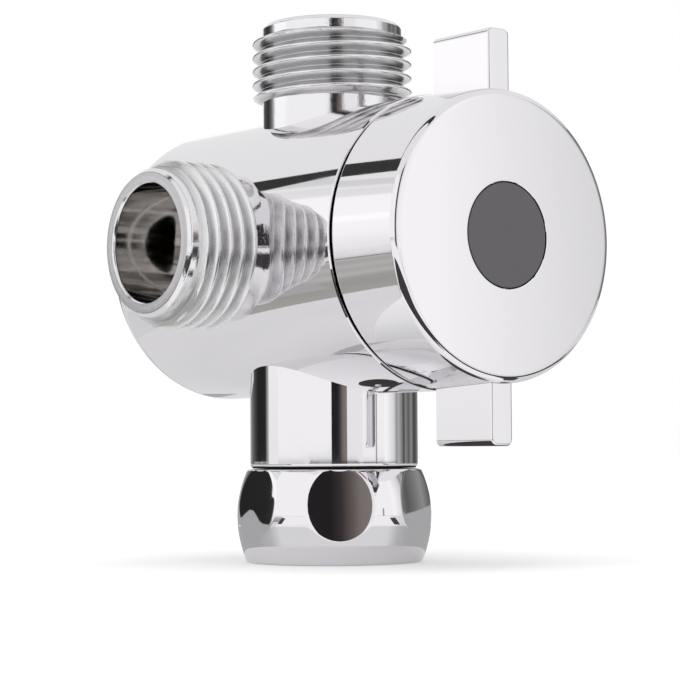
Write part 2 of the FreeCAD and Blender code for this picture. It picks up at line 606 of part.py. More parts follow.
# Spindle: turned brass, with a cup for the port seal, ring grooves and a square drive
SPINDLE_GROOVE = "(journal_diameter / 2 + running_clearance - spindle_ring_section - 0.08)"
SPINDLE_RING_RADIUS = "(journal_diameter / 2 + running_clearance - 0.04 - spindle_ring_section / 2)"
FIRST_RING = f"({GLAND_INNER} + spindle_ring_place)"
SECOND_RING = f"({GLAND_INNER} + spindle_ring_place + spindle_ring_spacing)"
TAIL_SPINDLE_RADIUS = "(bearing_diameter / 2 - running_clearance)"
HALF_GROOVE = "(spindle_ring_section / 2 + ring_room)"
spindle = new_body("spindle")
turned(spindle, "Shaft", "PartDesign::Revolution", "XZ_Plane", [
    ("0", "-chamber_back - tail_length"),
    (TAIL_SPINDLE_RADIUS, "-chamber_back - tail_length"),
    (TAIL_SPINDLE_RADIUS, "-cup_diameter / 2 + 1"),
    ("waist_diameter / 2", "-cup_diameter / 2 + 1"),
    ("waist_diameter / 2", "collar_back"),
    ("collar_diameter / 2", "collar_back"),
    ("collar_diameter / 2", "collar_back + collar_thickness"),
    ("journal_diameter / 2", "collar_back + collar_thickness"),
    ("journal_diameter / 2", f"{FIRST_RING} - {HALF_GROOVE}"),
    (SPINDLE_GROOVE, f"{FIRST_RING} - {HALF_GROOVE}"),
    (SPINDLE_GROOVE, f"{FIRST_RING} + {HALF_GROOVE}"),
    ("journal_diameter / 2", f"{FIRST_RING} + {HALF_GROOVE}"),
    ("journal_diameter / 2", f"{SECOND_RING} - {HALF_GROOVE}"),
    (SPINDLE_GROOVE, f"{SECOND_RING} - {HALF_GROOVE}"),
    (SPINDLE_GROOVE, f"{SECOND_RING} + {HALF_GROOVE}"),
    ("journal_diameter / 2", f"{SECOND_RING} + {HALF_GROOVE}"),
    ("journal_diameter / 2", "journal_end"),
    ("0", "journal_end"),
])
turned(spindle, "Cup", "PartDesign::Revolution", "XY_Plane", [
    ("0", "0"),
    ("cup_diameter / 2", "0"),
    ("cup_diameter / 2", "cup_reach"),
    ("0", "cup_reach"),
])
turned(spindle, "CupBore", "PartDesign::Groove", "XY_Plane", [
    ("0", "cup_floor"),
    ("cup_bore_diameter / 2", "cup_floor"),
    ("cup_bore_diameter / 2", "cup_reach + 1"),
    ("0", "cup_reach + 1"),
])
drive_sketch = attach(spindle, "DriveProfile", "XY_Plane", "journal_end")
box_in(drive_sketch, "-drive_square / 2", "-drive_square / 2", "drive_square / 2", "drive_square / 2")
raised(spindle, "Drive", drive_sketch, "drive_length")
tapped_sketch = attach(spindle, "TappedProfile", "XY_Plane", DRIVE_END)
circle_in(tapped_sketch, "0", "0", "tapped_diameter / 2")
sunk(spindle, "TappedHole", tapped_sketch, "tapped_depth")
on_knob_axis(spindle)

ring_on_knob_axis("spindle_o_ring_back", SPINDLE_RING_RADIUS, "spindle_ring_section", FIRST_RING)
ring_on_knob_axis("spindle_o_ring_front", SPINDLE_RING_RADIUS, "spindle_ring_section", SECOND_RING)


def rod(name, radius, length, start, direction):
    """A plain cylinder along an axis of the knob's frame, as stock for a cut."""
    cylinder = doc.addObject("Part::Cylinder", name)
    cylinder.setExpression("Radius", bound(radius))
    cylinder.setExpression("Height", bound(length))
    turn = FreeCAD.Rotation(FreeCAD.Vector(0, 0, 1), direction)
    cylinder.Placement = FreeCAD.Placement(direction * value(start), turn)
    axis = "x" if direction.x else "y" if direction.y else "z"
    cylinder.setExpression(f"Placement.Base.{axis}", bound(start))
    return cylinder


# Port seal: a rubber plug, its face curved like the chamber wall that it closes
UP = FreeCAD.Vector(0, 1, 0)
FORWARD = FreeCAD.Vector(0, 0, 1)
seal_stock = rod("SealStock", "seal_diameter / 2", "chamber_diameter / 2 - seal_back", "seal_back", UP)
chamber_round = rod("ChamberRound", "chamber_diameter / 2 - 2 * running_clearance",
                    "2 * seal_diameter", "-seal_diameter", FORWARD)
seal_face = doc.addObject("Part::Common", "SealFace")
seal_face.Base = seal_stock
seal_face.Tool = chamber_round
seal_well = rod("SealWell", "seal_pocket_diameter / 2", "seal_pocket_depth", "seal_back", UP)
port_seal = doc.addObject("Part::Cut", "port_seal")
port_seal.Label = "port_seal"
port_seal.Base = seal_face
port_seal.Tool = seal_well
on_knob_axis(port_seal)


def coil_spring(label, mean_radius, wire, turns, length, direction, start, off_axis=None):
    """A round-wire spring along an axis of the knob's frame, between two ends."""
    helix = doc.addObject("Part::Helix", label + "_path")
    helix.setExpression("Radius", bound(mean_radius))
    helix.setExpression("Height", bound(f"{length} - {wire} - 0.04"))
    helix.setExpression("Pitch", bound(f"({length} - {wire} - 0.04) / {turns}"))
    helix.SegmentLength = 0.25
    section = doc.addObject("Part::Circle", label + "_section")
    section.setExpression("Radius", bound(f"{wire} / 2"))
    section.Placement.Rotation = FreeCAD.Rotation(FreeCAD.Vector(1, 0, 0), 90)
    section.setExpression("Placement.Base.x", bound(mean_radius))
    doc.recompute()
    spring = doc.addObject("Part::Sweep", label)
    spring.Label = label
    spring.Sections = [section]
    spring.Spine = (helix, [f"Edge{i + 1}" for i in range(len(helix.Shape.Edges))])
    spring.Solid = True
    spring.Frenet = True
    to_knob = FreeCAD.Rotation(FreeCAD.Vector(1, 0, 0), 90)
    along = FreeCAD.Rotation(FreeCAD.Vector(0, 0, 1), direction)
    spring.Placement = FreeCAD.Placement(FreeCAD.Vector(0, 0, 0), to_knob.multiply(along))
    first = f"({start} + {wire} / 2 + 0.02)"
    if direction.y:
        spring.setExpression("Placement.Base.z", bound(f"{AXIS_HEIGHT} + {first}"))
    else:
        spring.setExpression("Placement.Base.y", bound(f"-{first}"))
        spring.setExpression("Placement.Base.z", bound(f"{AXIS_HEIGHT} + {off_axis}"))
    return spring


coil_spring("port_seal_spring", "seal_spring_diameter / 2", "seal_spring_wire",
            "seal_spring_turns", "(seal_back + seal_pocket_depth - cup_floor)", UP, "cup_floor")

# Knob: one plated casting with two grip wings, hollow behind, on the spindle's square
KNOB_BACK_RADIUS = "(knob_back_diameter / 2)"
KNOB_FRONT_RADIUS = "(knob_back_diameter / 2 - knob_taper)"
KNOB_BORE_RADIUS = "(gland_flange_diameter / 2 + knob_bore_clearance)"
FACE_RADIUS = "(knob_back_diameter / 2 - knob_taper - knob_edge)"
RECESS_RADIUS = "(insert_diameter / 2 + insert_clearance)"
WING_TIP = "(knob_back_diameter / 2 + wing_rise)"
WING_ROOT = "(gland_flange_diameter / 2 + knob_bore_clearance + wing_root_skin)"
CROWN_RADIUS = (
    f"(({FACE_RADIUS} ^ 2 + knob_crown ^ 2) / (2 * knob_crown))"
)
WELL_CROWN = f"(knob_crown - {RECESS_RADIUS} ^ 2 / (2 * {CROWN_RADIUS}))"
knob = new_body("knob")
turned(knob, "KnobShell", "PartDesign::Revolution", "XZ_Plane", [
    (KNOB_BORE_RADIUS, KNOB_BACK),
    (f"{KNOB_BACK_RADIUS} - knob_back_chamfer", KNOB_BACK),
    (KNOB_BACK_RADIUS, f"{KNOB_BACK} + knob_back_chamfer"),
    (KNOB_FRONT_RADIUS, f"{KNOB_EDGE_FACE} - knob_edge"),
    (FACE_RADIUS, KNOB_EDGE_FACE, "knob_edge * 1.02"),
    (RECESS_RADIUS, f"{KNOB_EDGE_FACE} + {WELL_CROWN}", CROWN_RADIUS),
    (RECESS_RADIUS, RECESS_FLOOR),
    ("screw_well_diameter / 2", RECESS_FLOOR),
    ("screw_well_diameter / 2", SCREW_SEAT),
    ("screw_hole_diameter / 2", SCREW_SEAT),
    ("screw_hole_diameter / 2", BOSS_END),
    ("boss_diameter / 2", BOSS_END),
    ("boss_diameter / 2", KNOB_FLOOR),
    (KNOB_BORE_RADIUS, KNOB_FLOOR),
])
wing_sketch = attach(knob, "WingProfile", "XY_Plane", KNOB_BACK)
box_in(wing_sketch, "-wing_thickness / 2", WING_ROOT, "wing_thickness / 2", WING_TIP)
box_in(wing_sketch, "-wing_thickness / 2", f"-{WING_TIP}", "wing_thickness / 2", f"-{WING_ROOT}")
wings = raised(knob, "Wings", wing_sketch, "wing_depth")
doc.recompute()
tip = value(WING_TIP)
front = value(f"{KNOB_BACK} + wing_depth")
wing_corners = knob.newObject("PartDesign::Fillet", "WingCorners")
wing_corners.Base = (wings, edges_where(
    wings, lambda edge, middle: abs(abs(middle.y) - tip) < 1e-6 and abs(middle.x) > 1e-6
))
wing_corners.setExpression("Radius", bound("wing_tip_round"))
knob.Tip = wing_corners
doc.recompute()
wing_edges = knob.newObject("PartDesign::Fillet", "WingEdges")
outside = value(KNOB_BACK_RADIUS)
wing_edges.Base = (wing_corners, edges_where(
    wing_corners, lambda edge, middle: abs(middle.y) > outside and abs(middle.z - front) < 1e-6
))
wing_edges.setExpression("Radius", bound("wing_edge_round"))
knob.Tip = wing_edges
RIB_ARC = (
    "2 * (180 deg - knob_travel * 1 deg - stop_gap * 1 deg"
    f" - asin(pin_diameter / (2 * {TRACK_RADIUS})))"
)
turned(knob, "StopRib", "PartDesign::Revolution", "YZ_Plane", [
    (f"{TRACK_RADIUS} - rib_width / 2", BOSS_END),
    (f"{TRACK_RADIUS} + rib_width / 2", BOSS_END),
    (f"{TRACK_RADIUS} + rib_width / 2", f"{KNOB_FLOOR} + knob_edge"),
    (f"{TRACK_RADIUS} - rib_width / 2", f"{KNOB_FLOOR} + knob_edge"),
], angle=RIB_ARC)
socket_sketch = attach(knob, "SocketProfile", "XY_Plane", BOSS_END)
SOCKET = "drive_square / 2 + drive_clearance"
box_in(socket_sketch, f"-({SOCKET})", f"-({SOCKET})", SOCKET, SOCKET)
sunk(knob, "Socket", socket_sketch, f"{DRIVE_END} - {BOSS_END}", reverse=True)
pocket_sketch = attach(knob, "BallPocketProfile", "XY_Plane", BOSS_END)
circle_in(pocket_sketch, "0", TRACK_RADIUS, "ball_diameter / 2 + ball_pocket_clearance")
sunk(knob, "BallPocket", pocket_sketch, "ball_pocket_depth", reverse=True)
on_knob_axis(knob)

# Detent: a steel ball and its spring in the knob, clicking over the gland's dimples
ball = doc.addObject("Part::Sphere", "detent_ball")
ball.Label = "detent_ball"
ball.setExpression("Radius", bound("ball_diameter / 2"))
ball.setExpression("Placement.Base.y", bound(f"-{BALL_PLACE}"))
ball.setExpression("Placement.Base.z", bound(f"{AXIS_HEIGHT} + {TRACK_RADIUS}"))
coil_spring("detent_spring", "(ball_diameter / 2 - detent_spring_wire / 2 - 0.05)",
            "detent_spring_wire", "detent_spring_turns",
            f"({BOSS_END} + ball_pocket_depth - {BALL_PLACE} - ball_diameter * 0.36)",
            FORWARD, f"({BALL_PLACE} + ball_diameter * 0.36)", off_axis=TRACK_RADIUS)

# Stop pin: a steel pin pressed into the gland, which the knob's rib meets at each end
stop_pin = doc.addObject("Part::Cylinder", "stop_pin")
stop_pin.Label = "stop_pin"
stop_pin.setExpression("Radius", bound("pin_diameter / 2"))
stop_pin.setExpression("Height", bound("pin_sink + pin_rise"))
stop_pin.Placement.Rotation = FreeCAD.Rotation(FreeCAD.Vector(1, 0, 0), 90)
stop_pin.setExpression("Placement.Base.y", bound(f"-({GLAND_FACE} - pin_sink)"))
stop_pin.setExpression("Placement.Base.z", bound(f"{AXIS_HEIGHT} - {TRACK_RADIUS}"))

# Knob screw: a pan-headed screw down the knob's well into the spindle
screw = new_body("knob_screw")
turned(screw, "ScrewBlank", "PartDesign::Revolution", "XZ_Plane", [
    ("0", f"{SCREW_SEAT} - screw_length"),
    ("screw_core_diameter / 2", f"{SCREW_SEAT} - screw_length"),
    ("screw_core_diameter / 2", SCREW_SEAT),
    ("screw_head_diameter / 2", SCREW_SEAT),
    ("screw_head_diameter / 2", f"{SCREW_SEAT} + screw_head_height / 2"),
    ("screw_head_diameter / 4", f"{SCREW_SEAT} + screw_head_height", "screw_head_diameter / 2"),
    ("0", f"{SCREW_SEAT} + screw_head_height"),
])
for slot_number in (1, 2):
    slot_sketch = attach(
        screw, f"Slot{slot_number}Profile", "XY_Plane", f"{SCREW_SEAT} + screw_head_height"
    )
    long_side, short_side = "screw_slot_length / 2", "screw_slot_width / 2"
    if slot_number == 2:
        long_side, short_side = short_side, long_side
    box_in(slot_sketch, f"-{long_side}", f"-{short_side}", long_side, short_side)
    sunk(screw, f"Slot{slot_number}", slot_sketch, "screw_slot_depth")
on_knob_axis(screw)

# Insert: the dark disc that covers the screw
INSERT_FACE = f"({KNOB_EDGE_FACE} + {WELL_CROWN})"
insert = new_body("knob_insert")
turned(insert, "Disc", "PartDesign::Revolution", "XZ_Plane", [
    ("0", RECESS_FLOOR),
    ("insert_diameter / 2", RECESS_FLOOR),
    ("insert_diameter / 2", f"{INSERT_FACE} - insert_bevel"),
    ("insert_diameter / 2 - insert_bevel", INSERT_FACE),
    ("0", INSERT_FACE),
])
on_knob_axis(insert)

doc.recompute()

PIECES = [
    "valve_body", "inlet_tailpiece", "tailpiece_o_ring", "swivel_nut", "inlet_washer",
    "filter_screen", "gland_nut", "gland_o_ring", "thrust_washer", "spindle",
    "spindle_o_ring_back", "spindle_o_ring_front", "port_seal", "port_seal_spring", "knob",
    "detent_ball", "detent_spring", "stop_pin", "knob_screw", "knob_insert",
]

faults = [item.Name for item in doc.Objects if {"Invalid", "Error"} & set(item.State)]
for label in PIECES:
    shape = doc.getObjectsByLabel(label)[0].Shape
    if shape.isNull() or not shape.isValid() or len(shape.Solids) != 1:
        faults.append(label)
if faults:
    raise RuntimeError("failed objects: " + ", ".join(faults))

os.makedirs("parts", exist_ok=True)
for label in PIECES:
    piece = doc.getObjectsByLabel(label)[0]
    piece.Shape.exportStep(f"parts/{label}.step")
    print(f"{label:22s} volume {piece.Shape.Volume:9.2f} mm3")
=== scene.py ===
"""Looks of the shower diverter valve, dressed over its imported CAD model.

The valve hangs on its swivel nut in real use. Here it stands on the nut, on a pale studio floor.
Shapes are made in millimetres and become metres when a piece is placed.
"""
import math

import bmesh
import bpy
import numpy as np
from mathutils import Matrix, Vector


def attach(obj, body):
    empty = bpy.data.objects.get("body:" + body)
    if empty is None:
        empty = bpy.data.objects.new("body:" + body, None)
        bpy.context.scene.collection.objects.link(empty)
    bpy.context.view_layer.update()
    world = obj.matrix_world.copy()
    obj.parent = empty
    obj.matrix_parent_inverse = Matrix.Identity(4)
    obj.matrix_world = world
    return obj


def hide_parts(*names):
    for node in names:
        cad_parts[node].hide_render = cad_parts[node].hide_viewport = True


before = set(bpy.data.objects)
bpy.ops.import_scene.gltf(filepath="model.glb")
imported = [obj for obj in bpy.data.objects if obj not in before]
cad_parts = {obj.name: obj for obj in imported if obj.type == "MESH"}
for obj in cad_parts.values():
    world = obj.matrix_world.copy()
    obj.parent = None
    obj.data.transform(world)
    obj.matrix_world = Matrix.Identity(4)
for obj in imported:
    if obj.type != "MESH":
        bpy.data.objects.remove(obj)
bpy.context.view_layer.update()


# Valve body
# A cast brass body, turned, bored and chromed: a closed barrel with the inlet neck under it
# and two outlets, one on top and one at the side, each with a pipe thread cut on it.
AXIS_HEIGHT = 40.2
BARREL_RADIUS = 18.45
BARREL_FRONT = 21.8
BARREL_BACK = 26.3
NECK_RADIUS = 11.0
NECK_DROP = 27.9
OUTLET_RISE = 30.3
OUTLET_REACH = 29.7
LEAD_RADIUS = 9.2
LEAD_LENGTH = 1.7
THREAD_LENGTH = 8.6
BORE_RADIUS = 7.3
BORE_DEPTH = 12.0
PORT_RADIUS = 3.5
CHAMBER_RADIUS = 11.0
CHAMBER_BACK = -9.5
WELL_BACK = -17.5
WATERWAY_RADIUS = 6.0
GLAND_BORE_RADIUS = 12.5
NECK_BORE_RADIUS = 8.3
NECK_BORE_DEPTH = 7.4
PITCH = 1.814
CREST_RADIUS = 10.4775
ROOT_RADIUS = 9.3155
SHARP_PEAK = 0.871
PEAK_ROUND = 0.478
THREAD_FADE = 0.6
THREAD_STEPS = 120
CHROME_FINISH, BORE_FINISH, BRASS_FINISH, THREAD_FINISH, SIDE_THREAD_FINISH = range(5)
RIM_FINISH, RING_HIGHLIGHT_FINISH, GAP_SHADE_FINISH, MOUTH_FINISH = range(5, 9)
FINISH_COUNT = 9
SOFT_ANGLE = math.radians(38)
SOFT_JOINT = math.radians(24)
MATCH_LIMIT = 0.03
NEARBY = 0.02

AT_MOUTH = Matrix.Identity(4)
UPRIGHT = Matrix.Translation((0, 0, AXIS_HEIGHT))
KNOB_WAY = UPRIGHT @ Matrix.Rotation(math.radians(90), 4, "X")
SIDE_WAY = UPRIGHT @ Matrix.Rotation(math.radians(-90), 4, "Y")
DOWNWARD = UPRIGHT @ Matrix.Rotation(math.radians(180), 4, "X")


def profile(corners, rounds=(), ring=False):
    """A wire half section of (radius, height) corners, where a third number arrives on an arc.

    Corners run anticlockwise, an arc bulges to the right, and rounds gives corners to round.
    """
    wire = bmesh.new()
    made = []
    for corner in corners:
        if len(corner) == 3:
            start = made[-1].co
            chord = Vector((corner[0], 0, corner[1])) - start
            inward = Vector((-chord.z, 0, chord.x)).normalized()
            rise = math.sqrt(corner[2] ** 2 - chord.length_squared / 4)
            arc = bmesh.ops.spin(
                wire, geom=[made[-1]], cent=start + chord / 2 + inward * rise, axis=(0, -1, 0),
                angle=2 * math.asin(chord.length / 2 / corner[2]),
                steps=max(6, round(chord.length * 3)),
            )
            made.append([v for v in arc["geom_last"] if isinstance(v, bmesh.types.BMVert)][0])
            continue
        made.append(wire.verts.new((corner[0], 0, corner[1])))
        if len(made) > 1:
            wire.edges.new((made[-2], made[-1]))
    if ring:
        wire.edges.new((made[-1], made[0]))
    for number, reach, segments in rounds:
        bmesh.ops.bevel(
            wire, geom=[made[number]], offset=reach, offset_type="OFFSET", segments=segments,
            profile=0.5, affect="VERTICES", material=-1, clamp_overlap=False,
        )
    return wire


def walked(wire):
    """The profile's points in order, anticlockwise, and whether it closes on itself."""
    ends = [v for v in wire.verts if len(v.link_edges) == 1]
    here = ends[0] if ends else next(iter(wire.verts))
    path = [here]
    edge = here.link_edges[0]
    while edge is not None:
        here = edge.other_vert(here)
        if here == path[0]:
            break
        path.append(here)
        onward = [e for e in here.link_edges if e != edge]
        edge = onward[0] if onward else None
    points = np.array([(v.co.x, v.co.z) for v in path])
    after = np.roll(points, -1, axis=0)
    area = (points[:, 0] * after[:, 1] - after[:, 0] * points[:, 1]).sum()
    return (points if area > 0 else points[::-1]), not ends


def swept_surfaces(wire, place, finish):
    """What a turned profile's surfaces are, so that their shading can be exact after cutting."""
    points, closed = walked(wire)
    starts = points if closed else points[:-1]
    stops = np.roll(points, -1, axis=0) if closed else points[1:]
    along = stops - starts
    lengths = np.linalg.norm(along, axis=1)
    facing = np.stack([along[:, 1], -along[:, 0]], 1) / lengths[:, None]
    first, last = facing.copy(), facing.copy()
    for number in range(len(facing)):
        before = number - 1
        if before < 0 and not closed:
            continue
        if facing[number] @ facing[before] < math.cos(SOFT_JOINT):
            continue
        weights = lengths[[before, number]] ** 2
        shared = facing[before] * weights[0] + facing[number] * weights[1]
        shared /= np.linalg.norm(shared)
        last[before] = shared
        first[number] = shared
    return dict(place=place, starts=starts, stops=stops, first=first, last=last, finish=finish)


def moved(shape, matrix):
    """A whole bmesh moved by a matrix."""
    bmesh.ops.transform(shape, matrix=matrix, verts=shape.verts[:])
    return shape


def turned(corners, steps, place, rounds=(), ring=False, finish=0):
    """A solid spun from a profile and put in place, with its surfaces' description."""
    shape = profile(corners, rounds, ring)
    surfaces = swept_surfaces(shape, place, finish)
    bmesh.ops.spin(
        shape, geom=shape.verts[:] + shape.edges[:], cent=(0, 0, 0), axis=(0, 0, 1),
        angle=2 * math.pi, steps=steps, use_merge=True,
    )
    bmesh.ops.remove_doubles(shape, verts=shape.verts[:], dist=1e-5)
    bmesh.ops.recalc_face_normals(shape, faces=shape.faces[:])
    return moved(shape, place), surfaces


def as_object(name, shape):
    """An object in the scene from a bmesh, which is freed."""
    mesh = bpy.data.meshes.new(name)
    shape.to_mesh(mesh)
    shape.free()
    made = bpy.data.objects.new(name, mesh)
    bpy.context.collection.objects.link(made)
    return made


def machined(stock, joined=(), removed=()):
    """A bmesh of the stock with pieces joined to it, then others cut from it."""
    block = as_object("stock", stock)
    tools = []
    for operation, shapes in (("UNION", joined), ("DIFFERENCE", removed)):
        for shape in shapes:
            tools.append(as_object("tool", shape))
            cut = block.modifiers.new(operation, "BOOLEAN")
            cut.operation = operation
            cut.solver = "EXACT"
            cut.object = tools[-1]
    graph = bpy.context.evaluated_depsgraph_get()
    result = bmesh.new()
    result.from_object(block, graph)
    for spent in tools + [block]:
        bpy.data.meshes.remove(spent.data)
    return result


def drawn(vert, wanted):
    """Moves a vertex straight out or in, to a distance from the Z axis."""
    share = wanted / math.hypot(vert.co.x, vert.co.y)
    vert.co.x *= share
    vert.co.y *= share


def thread(place, low, high, limit, inside=False):
    """A right-hand pipe thread as a closed sleeve, trimmed to the blank by limit(height)."""
    way = -1 if inside else 1
    middle = (CREST_RADIUS + ROOT_RADIUS) / 2
    peak = SHARP_PEAK * way
    first = low - 1.3 * PITCH
    shape = profile([
        (middle, first), (middle + peak, first + PITCH / 4),
        (middle - peak, first + PITCH * 3 / 4), (middle, first + PITCH),
    ], rounds=[(1, PEAK_ROUND, 5), (2, PEAK_ROUND, 5)])
    flanks = [edge for edge in shape.edges if edge.calc_length() > 0.2]
    bmesh.ops.subdivide_edges(shape, edges=flanks, cuts=2)
    turns = math.ceil((high - low) / PITCH + 2.6)
    bmesh.ops.spin(
        shape, geom=shape.verts[:] + shape.edges[:], cent=(0, 0, 0), axis=(0, 0, 1),
        dvec=(0, 0, PITCH / THREAD_STEPS), angle=2 * math.pi * turns, steps=THREAD_STEPS * turns,
    )
    bmesh.ops.remove_doubles(shape, verts=shape.verts[:], dist=1e-4)
    for vert in shape.verts:
        bound = limit(vert.co.z)
        if (bound - math.hypot(vert.co.x, vert.co.y)) * way < 0:
            drawn(vert, bound)
    wall = CREST_RADIUS + 0.3 if inside else ROOT_RADIUS - 1.1
    for height, side in ((low, -1), (high, 1)):
        cut = bmesh.ops.bisect_plane(
            shape, geom=shape.verts[:] + shape.edges[:] + shape.faces[:], dist=1e-6,
            plane_co=(0, 0, height), plane_no=(0, 0, side), clear_outer=True,
        )
        rim = [item for item in cut["geom_cut"] if isinstance(item, bmesh.types.BMEdge)]
        grown = bmesh.ops.extrude_edge_only(shape, edges=rim)["geom"]
        for vert in [item for item in grown if isinstance(item, bmesh.types.BMVert)]:
            drawn(vert, wall)
    bmesh.ops.bridge_loops(shape, edges=[edge for edge in shape.edges if edge.is_boundary])
    bmesh.ops.recalc_face_normals(shape, faces=shape.faces[:])
    return moved(shape, place)


def gathered(items, label, width=1, kind=float):
    """One attribute of all of a mesh's items, in rows where each has several numbers."""
    values = np.empty(len(items) * width, kind)
    items.foreach_get(label, values)
    return values.reshape(-1, width) if width > 1 else values


def seen_from(place, points):
    """Points as radius and height about a place's axis, and their ways out from it."""
    back = np.array(place.inverted())
    local = points @ back[:3, :3].T + back[:3, 3]
    radial = np.hypot(local[:, 0], local[:, 1])
    outward = local[:, :2] / np.maximum(radial, 1e-9)[:, None]
    return np.stack([radial, local[:, 2]], 1), outward


def shaded(made, surfaces, own=(THREAD_FINISH, SIDE_THREAD_FINISH)):
    """Gives turned surfaces their exact normals and the rest area-weighted ones.

    Finishes in own keep the smooth normals that Blender finds for them.
    """
    own_shading = np.zeros(FINISH_COUNT, int)
    own_shading[list(own)] = 1
    mesh = made.data
    mesh.shade_smooth()
    mesh.set_sharp_from_angle(angle=SOFT_ANGLE)
    places = gathered(mesh.vertices, "co", 3)
    corner_verts = gathered(mesh.loops, "vertex_index", kind=int)
    totals = gathered(mesh.polygons, "loop_total", kind=int)
    facing = gathered(mesh.polygons, "normal", 3)
    areas = gathered(mesh.polygons, "area")
    finishes = gathered(mesh.polygons, "material_index", kind=np.int32)
    normals = gathered(mesh.corner_normals, "vector", 3)
    count = len(totals)
    owners = np.repeat(np.arange(count), totals)
    # A face belongs to the turned surface that is nearest to its middle and faces the same way
    middles = np.zeros((count, 3))
    np.add.at(middles, owners, places[corner_verts])
    middles /= totals[:, None]
    best = np.full(count, MATCH_LIMIT)
    chosen = np.full((count, 2), -1)
    for number, surface in enumerate(surfaces):
        spots, outward = seen_from(surface["place"], middles)
        turned_way = facing @ np.array(surface["place"].inverted())[:3, :3].T
        flat = np.stack([(turned_way[:, :2] * outward).sum(1), turned_way[:, 2]], 1)
        for index, (start, stop) in enumerate(zip(surface["starts"], surface["stops"])):
            along = stop - start
            share = np.clip((spots - start) @ along / (along @ along), 0, 1)
            away = np.linalg.norm(spots - start - share[:, None] * along, axis=1)
            expected = surface["first"][index] + surface["last"][index]
            expected = expected / np.linalg.norm(expected)
            away = away + (1 - np.abs(flat @ expected)) * 0.5
            nearer = away < best
            best[nearer] = away[nearer]
            chosen[nearer] = (number, index)
    for number, surface in enumerate(surfaces):
        finishes[chosen[:, 0] == number] = surface["finish"]
        mine = np.flatnonzero(chosen[owners, 0] == number)
        if not len(mine):
            continue
        segment = chosen[owners[mine], 1]
        spots, outward = seen_from(surface["place"], places[corner_verts[mine]])
        start, stop = surface["starts"][segment], surface["stops"][segment]
        along = stop - start
        share = np.clip(((spots - start) * along).sum(1) / (along ** 2).sum(1), 0, 1)[:, None]
        blend = surface["first"][segment] * (1 - share) + surface["last"][segment] * share
        found = np.column_stack([outward * blend[:, :1], blend[:, 1]])
        found = found @ np.array(surface["place"])[:3, :3].T
        found /= np.linalg.norm(found, axis=1)[:, None]
        agree = np.sign((found * facing[owners[mine]]).sum(1))
        normals[mine] = found * agree[:, None]
    # Flats and small bevels beside them lean to the larger neighbour
    loose = np.flatnonzero((chosen[:, 0] < 0) & (own_shading[finishes] == 0))
    if len(loose):
        starts = np.concatenate([[0], np.cumsum(totals)[:-1]])
        around = {}
        wanted = set()
        for face in loose:
            wanted.update(corner_verts[starts[face]:starts[face] + totals[face]].tolist())
        for corner, vert in enumerate(corner_verts.tolist()):
            if vert in wanted:
                around.setdefault(vert, []).append(owners[corner])
        for face in loose:
            for corner in range(starts[face], starts[face] + totals[face]):
                group = np.array(around[corner_verts[corner]])
                group = group[facing[group] @ facing[face] > math.cos(SOFT_ANGLE)]
                total = (facing[group] * areas[group][:, None]).sum(0)
                normals[corner] = total / np.linalg.norm(total)
    mesh.polygons.foreach_set("material_index", finishes)
    mesh.normals_split_custom_set(normals.astype(np.float32))
    return made


def repainted(made, place, finish, radii, heights):
    """Gives a finish to the faces whose middles lie in two ranges about a place's axis."""
    faces = made.data.polygons
    spots, _ = seen_from(place, gathered(faces, "center", 3))
    inside = (spots > (radii[0], heights[0])) & (spots < (radii[1], heights[1]))
    finishes = gathered(faces, "material_index", kind=np.int32)
    finishes[inside.all(axis=1)] = finish
    faces.foreach_set("material_index", finishes)


def placed(made, finishes, body, slot, *nodes):
    """Makes a piece metres, gives it its finishes and puts it on its body for its CAD nodes."""
    made.data.transform(Matrix.Scale(0.001, 4))
    for finish in finishes:
        made.data.materials.append(finish)
    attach(made, body)
    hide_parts(*nodes)


def joined_shapes(*shapes):
    """One bmesh of several closed shapes, with a finish number for each."""
    whole = bmesh.new()
    for shape, finish in shapes:
        for face in shape.faces:
            face.material_index = finish
        loose = bpy.data.meshes.new("part")
        shape.to_mesh(loose)
        shape.free()
        whole.from_mesh(loose)
        bpy.data.meshes.remove(loose)
    return whole


barrel, barrel_surfaces = turned([
    (0, -BARREL_BACK), (BARREL_RADIUS, -BARREL_BACK), (BARREL_RADIUS, BARREL_FRONT - 0.15),
    (BARREL_RADIUS - 0.15, BARREL_FRONT), (0, BARREL_FRONT),
], 360, KNOB_WAY, rounds=[(1, 3.2, 16)])
neck, neck_surfaces = turned([
    (0, -4), (NECK_RADIUS, -4), (NECK_RADIUS, NECK_DROP - 0.5),
    (NECK_RADIUS - 0.16, NECK_DROP - 0.08, 0.6), (NECK_RADIUS - 0.36, NECK_DROP + 0.1),
    (0, NECK_DROP + 0.1),
], 288, DOWNWARD)


def outlet(reach, place):
    """An outlet's plain core under its thread, from inside the barrel to the rim."""
    return turned([
        (0, 4), (LEAD_RADIUS, 4), (LEAD_RADIUS, reach - 0.5), (LEAD_RADIUS - 0.5, reach),
        (0, reach),
    ], 288, place, rounds=[(2, 0.12, 3), (3, 0.12, 3)], finish=RIM_FINISH)


def outlet_bore(reach, place):
    """The polished bore of an outlet's mouth, with its flat floor and the port through it."""
    floor = reach - BORE_DEPTH
    return turned([
        (0, 5), (PORT_RADIUS, 5), (PORT_RADIUS, floor), (BORE_RADIUS, floor),
        (BORE_RADIUS, reach - 0.25), (BORE_RADIUS + 1, reach + 0.75), (0, reach + 0.75),
    ], 240, place, rounds=[(2, 0.15, 3), (3, 0.3, 4), (4, 0.2, 4)], finish=BORE_FINISH)


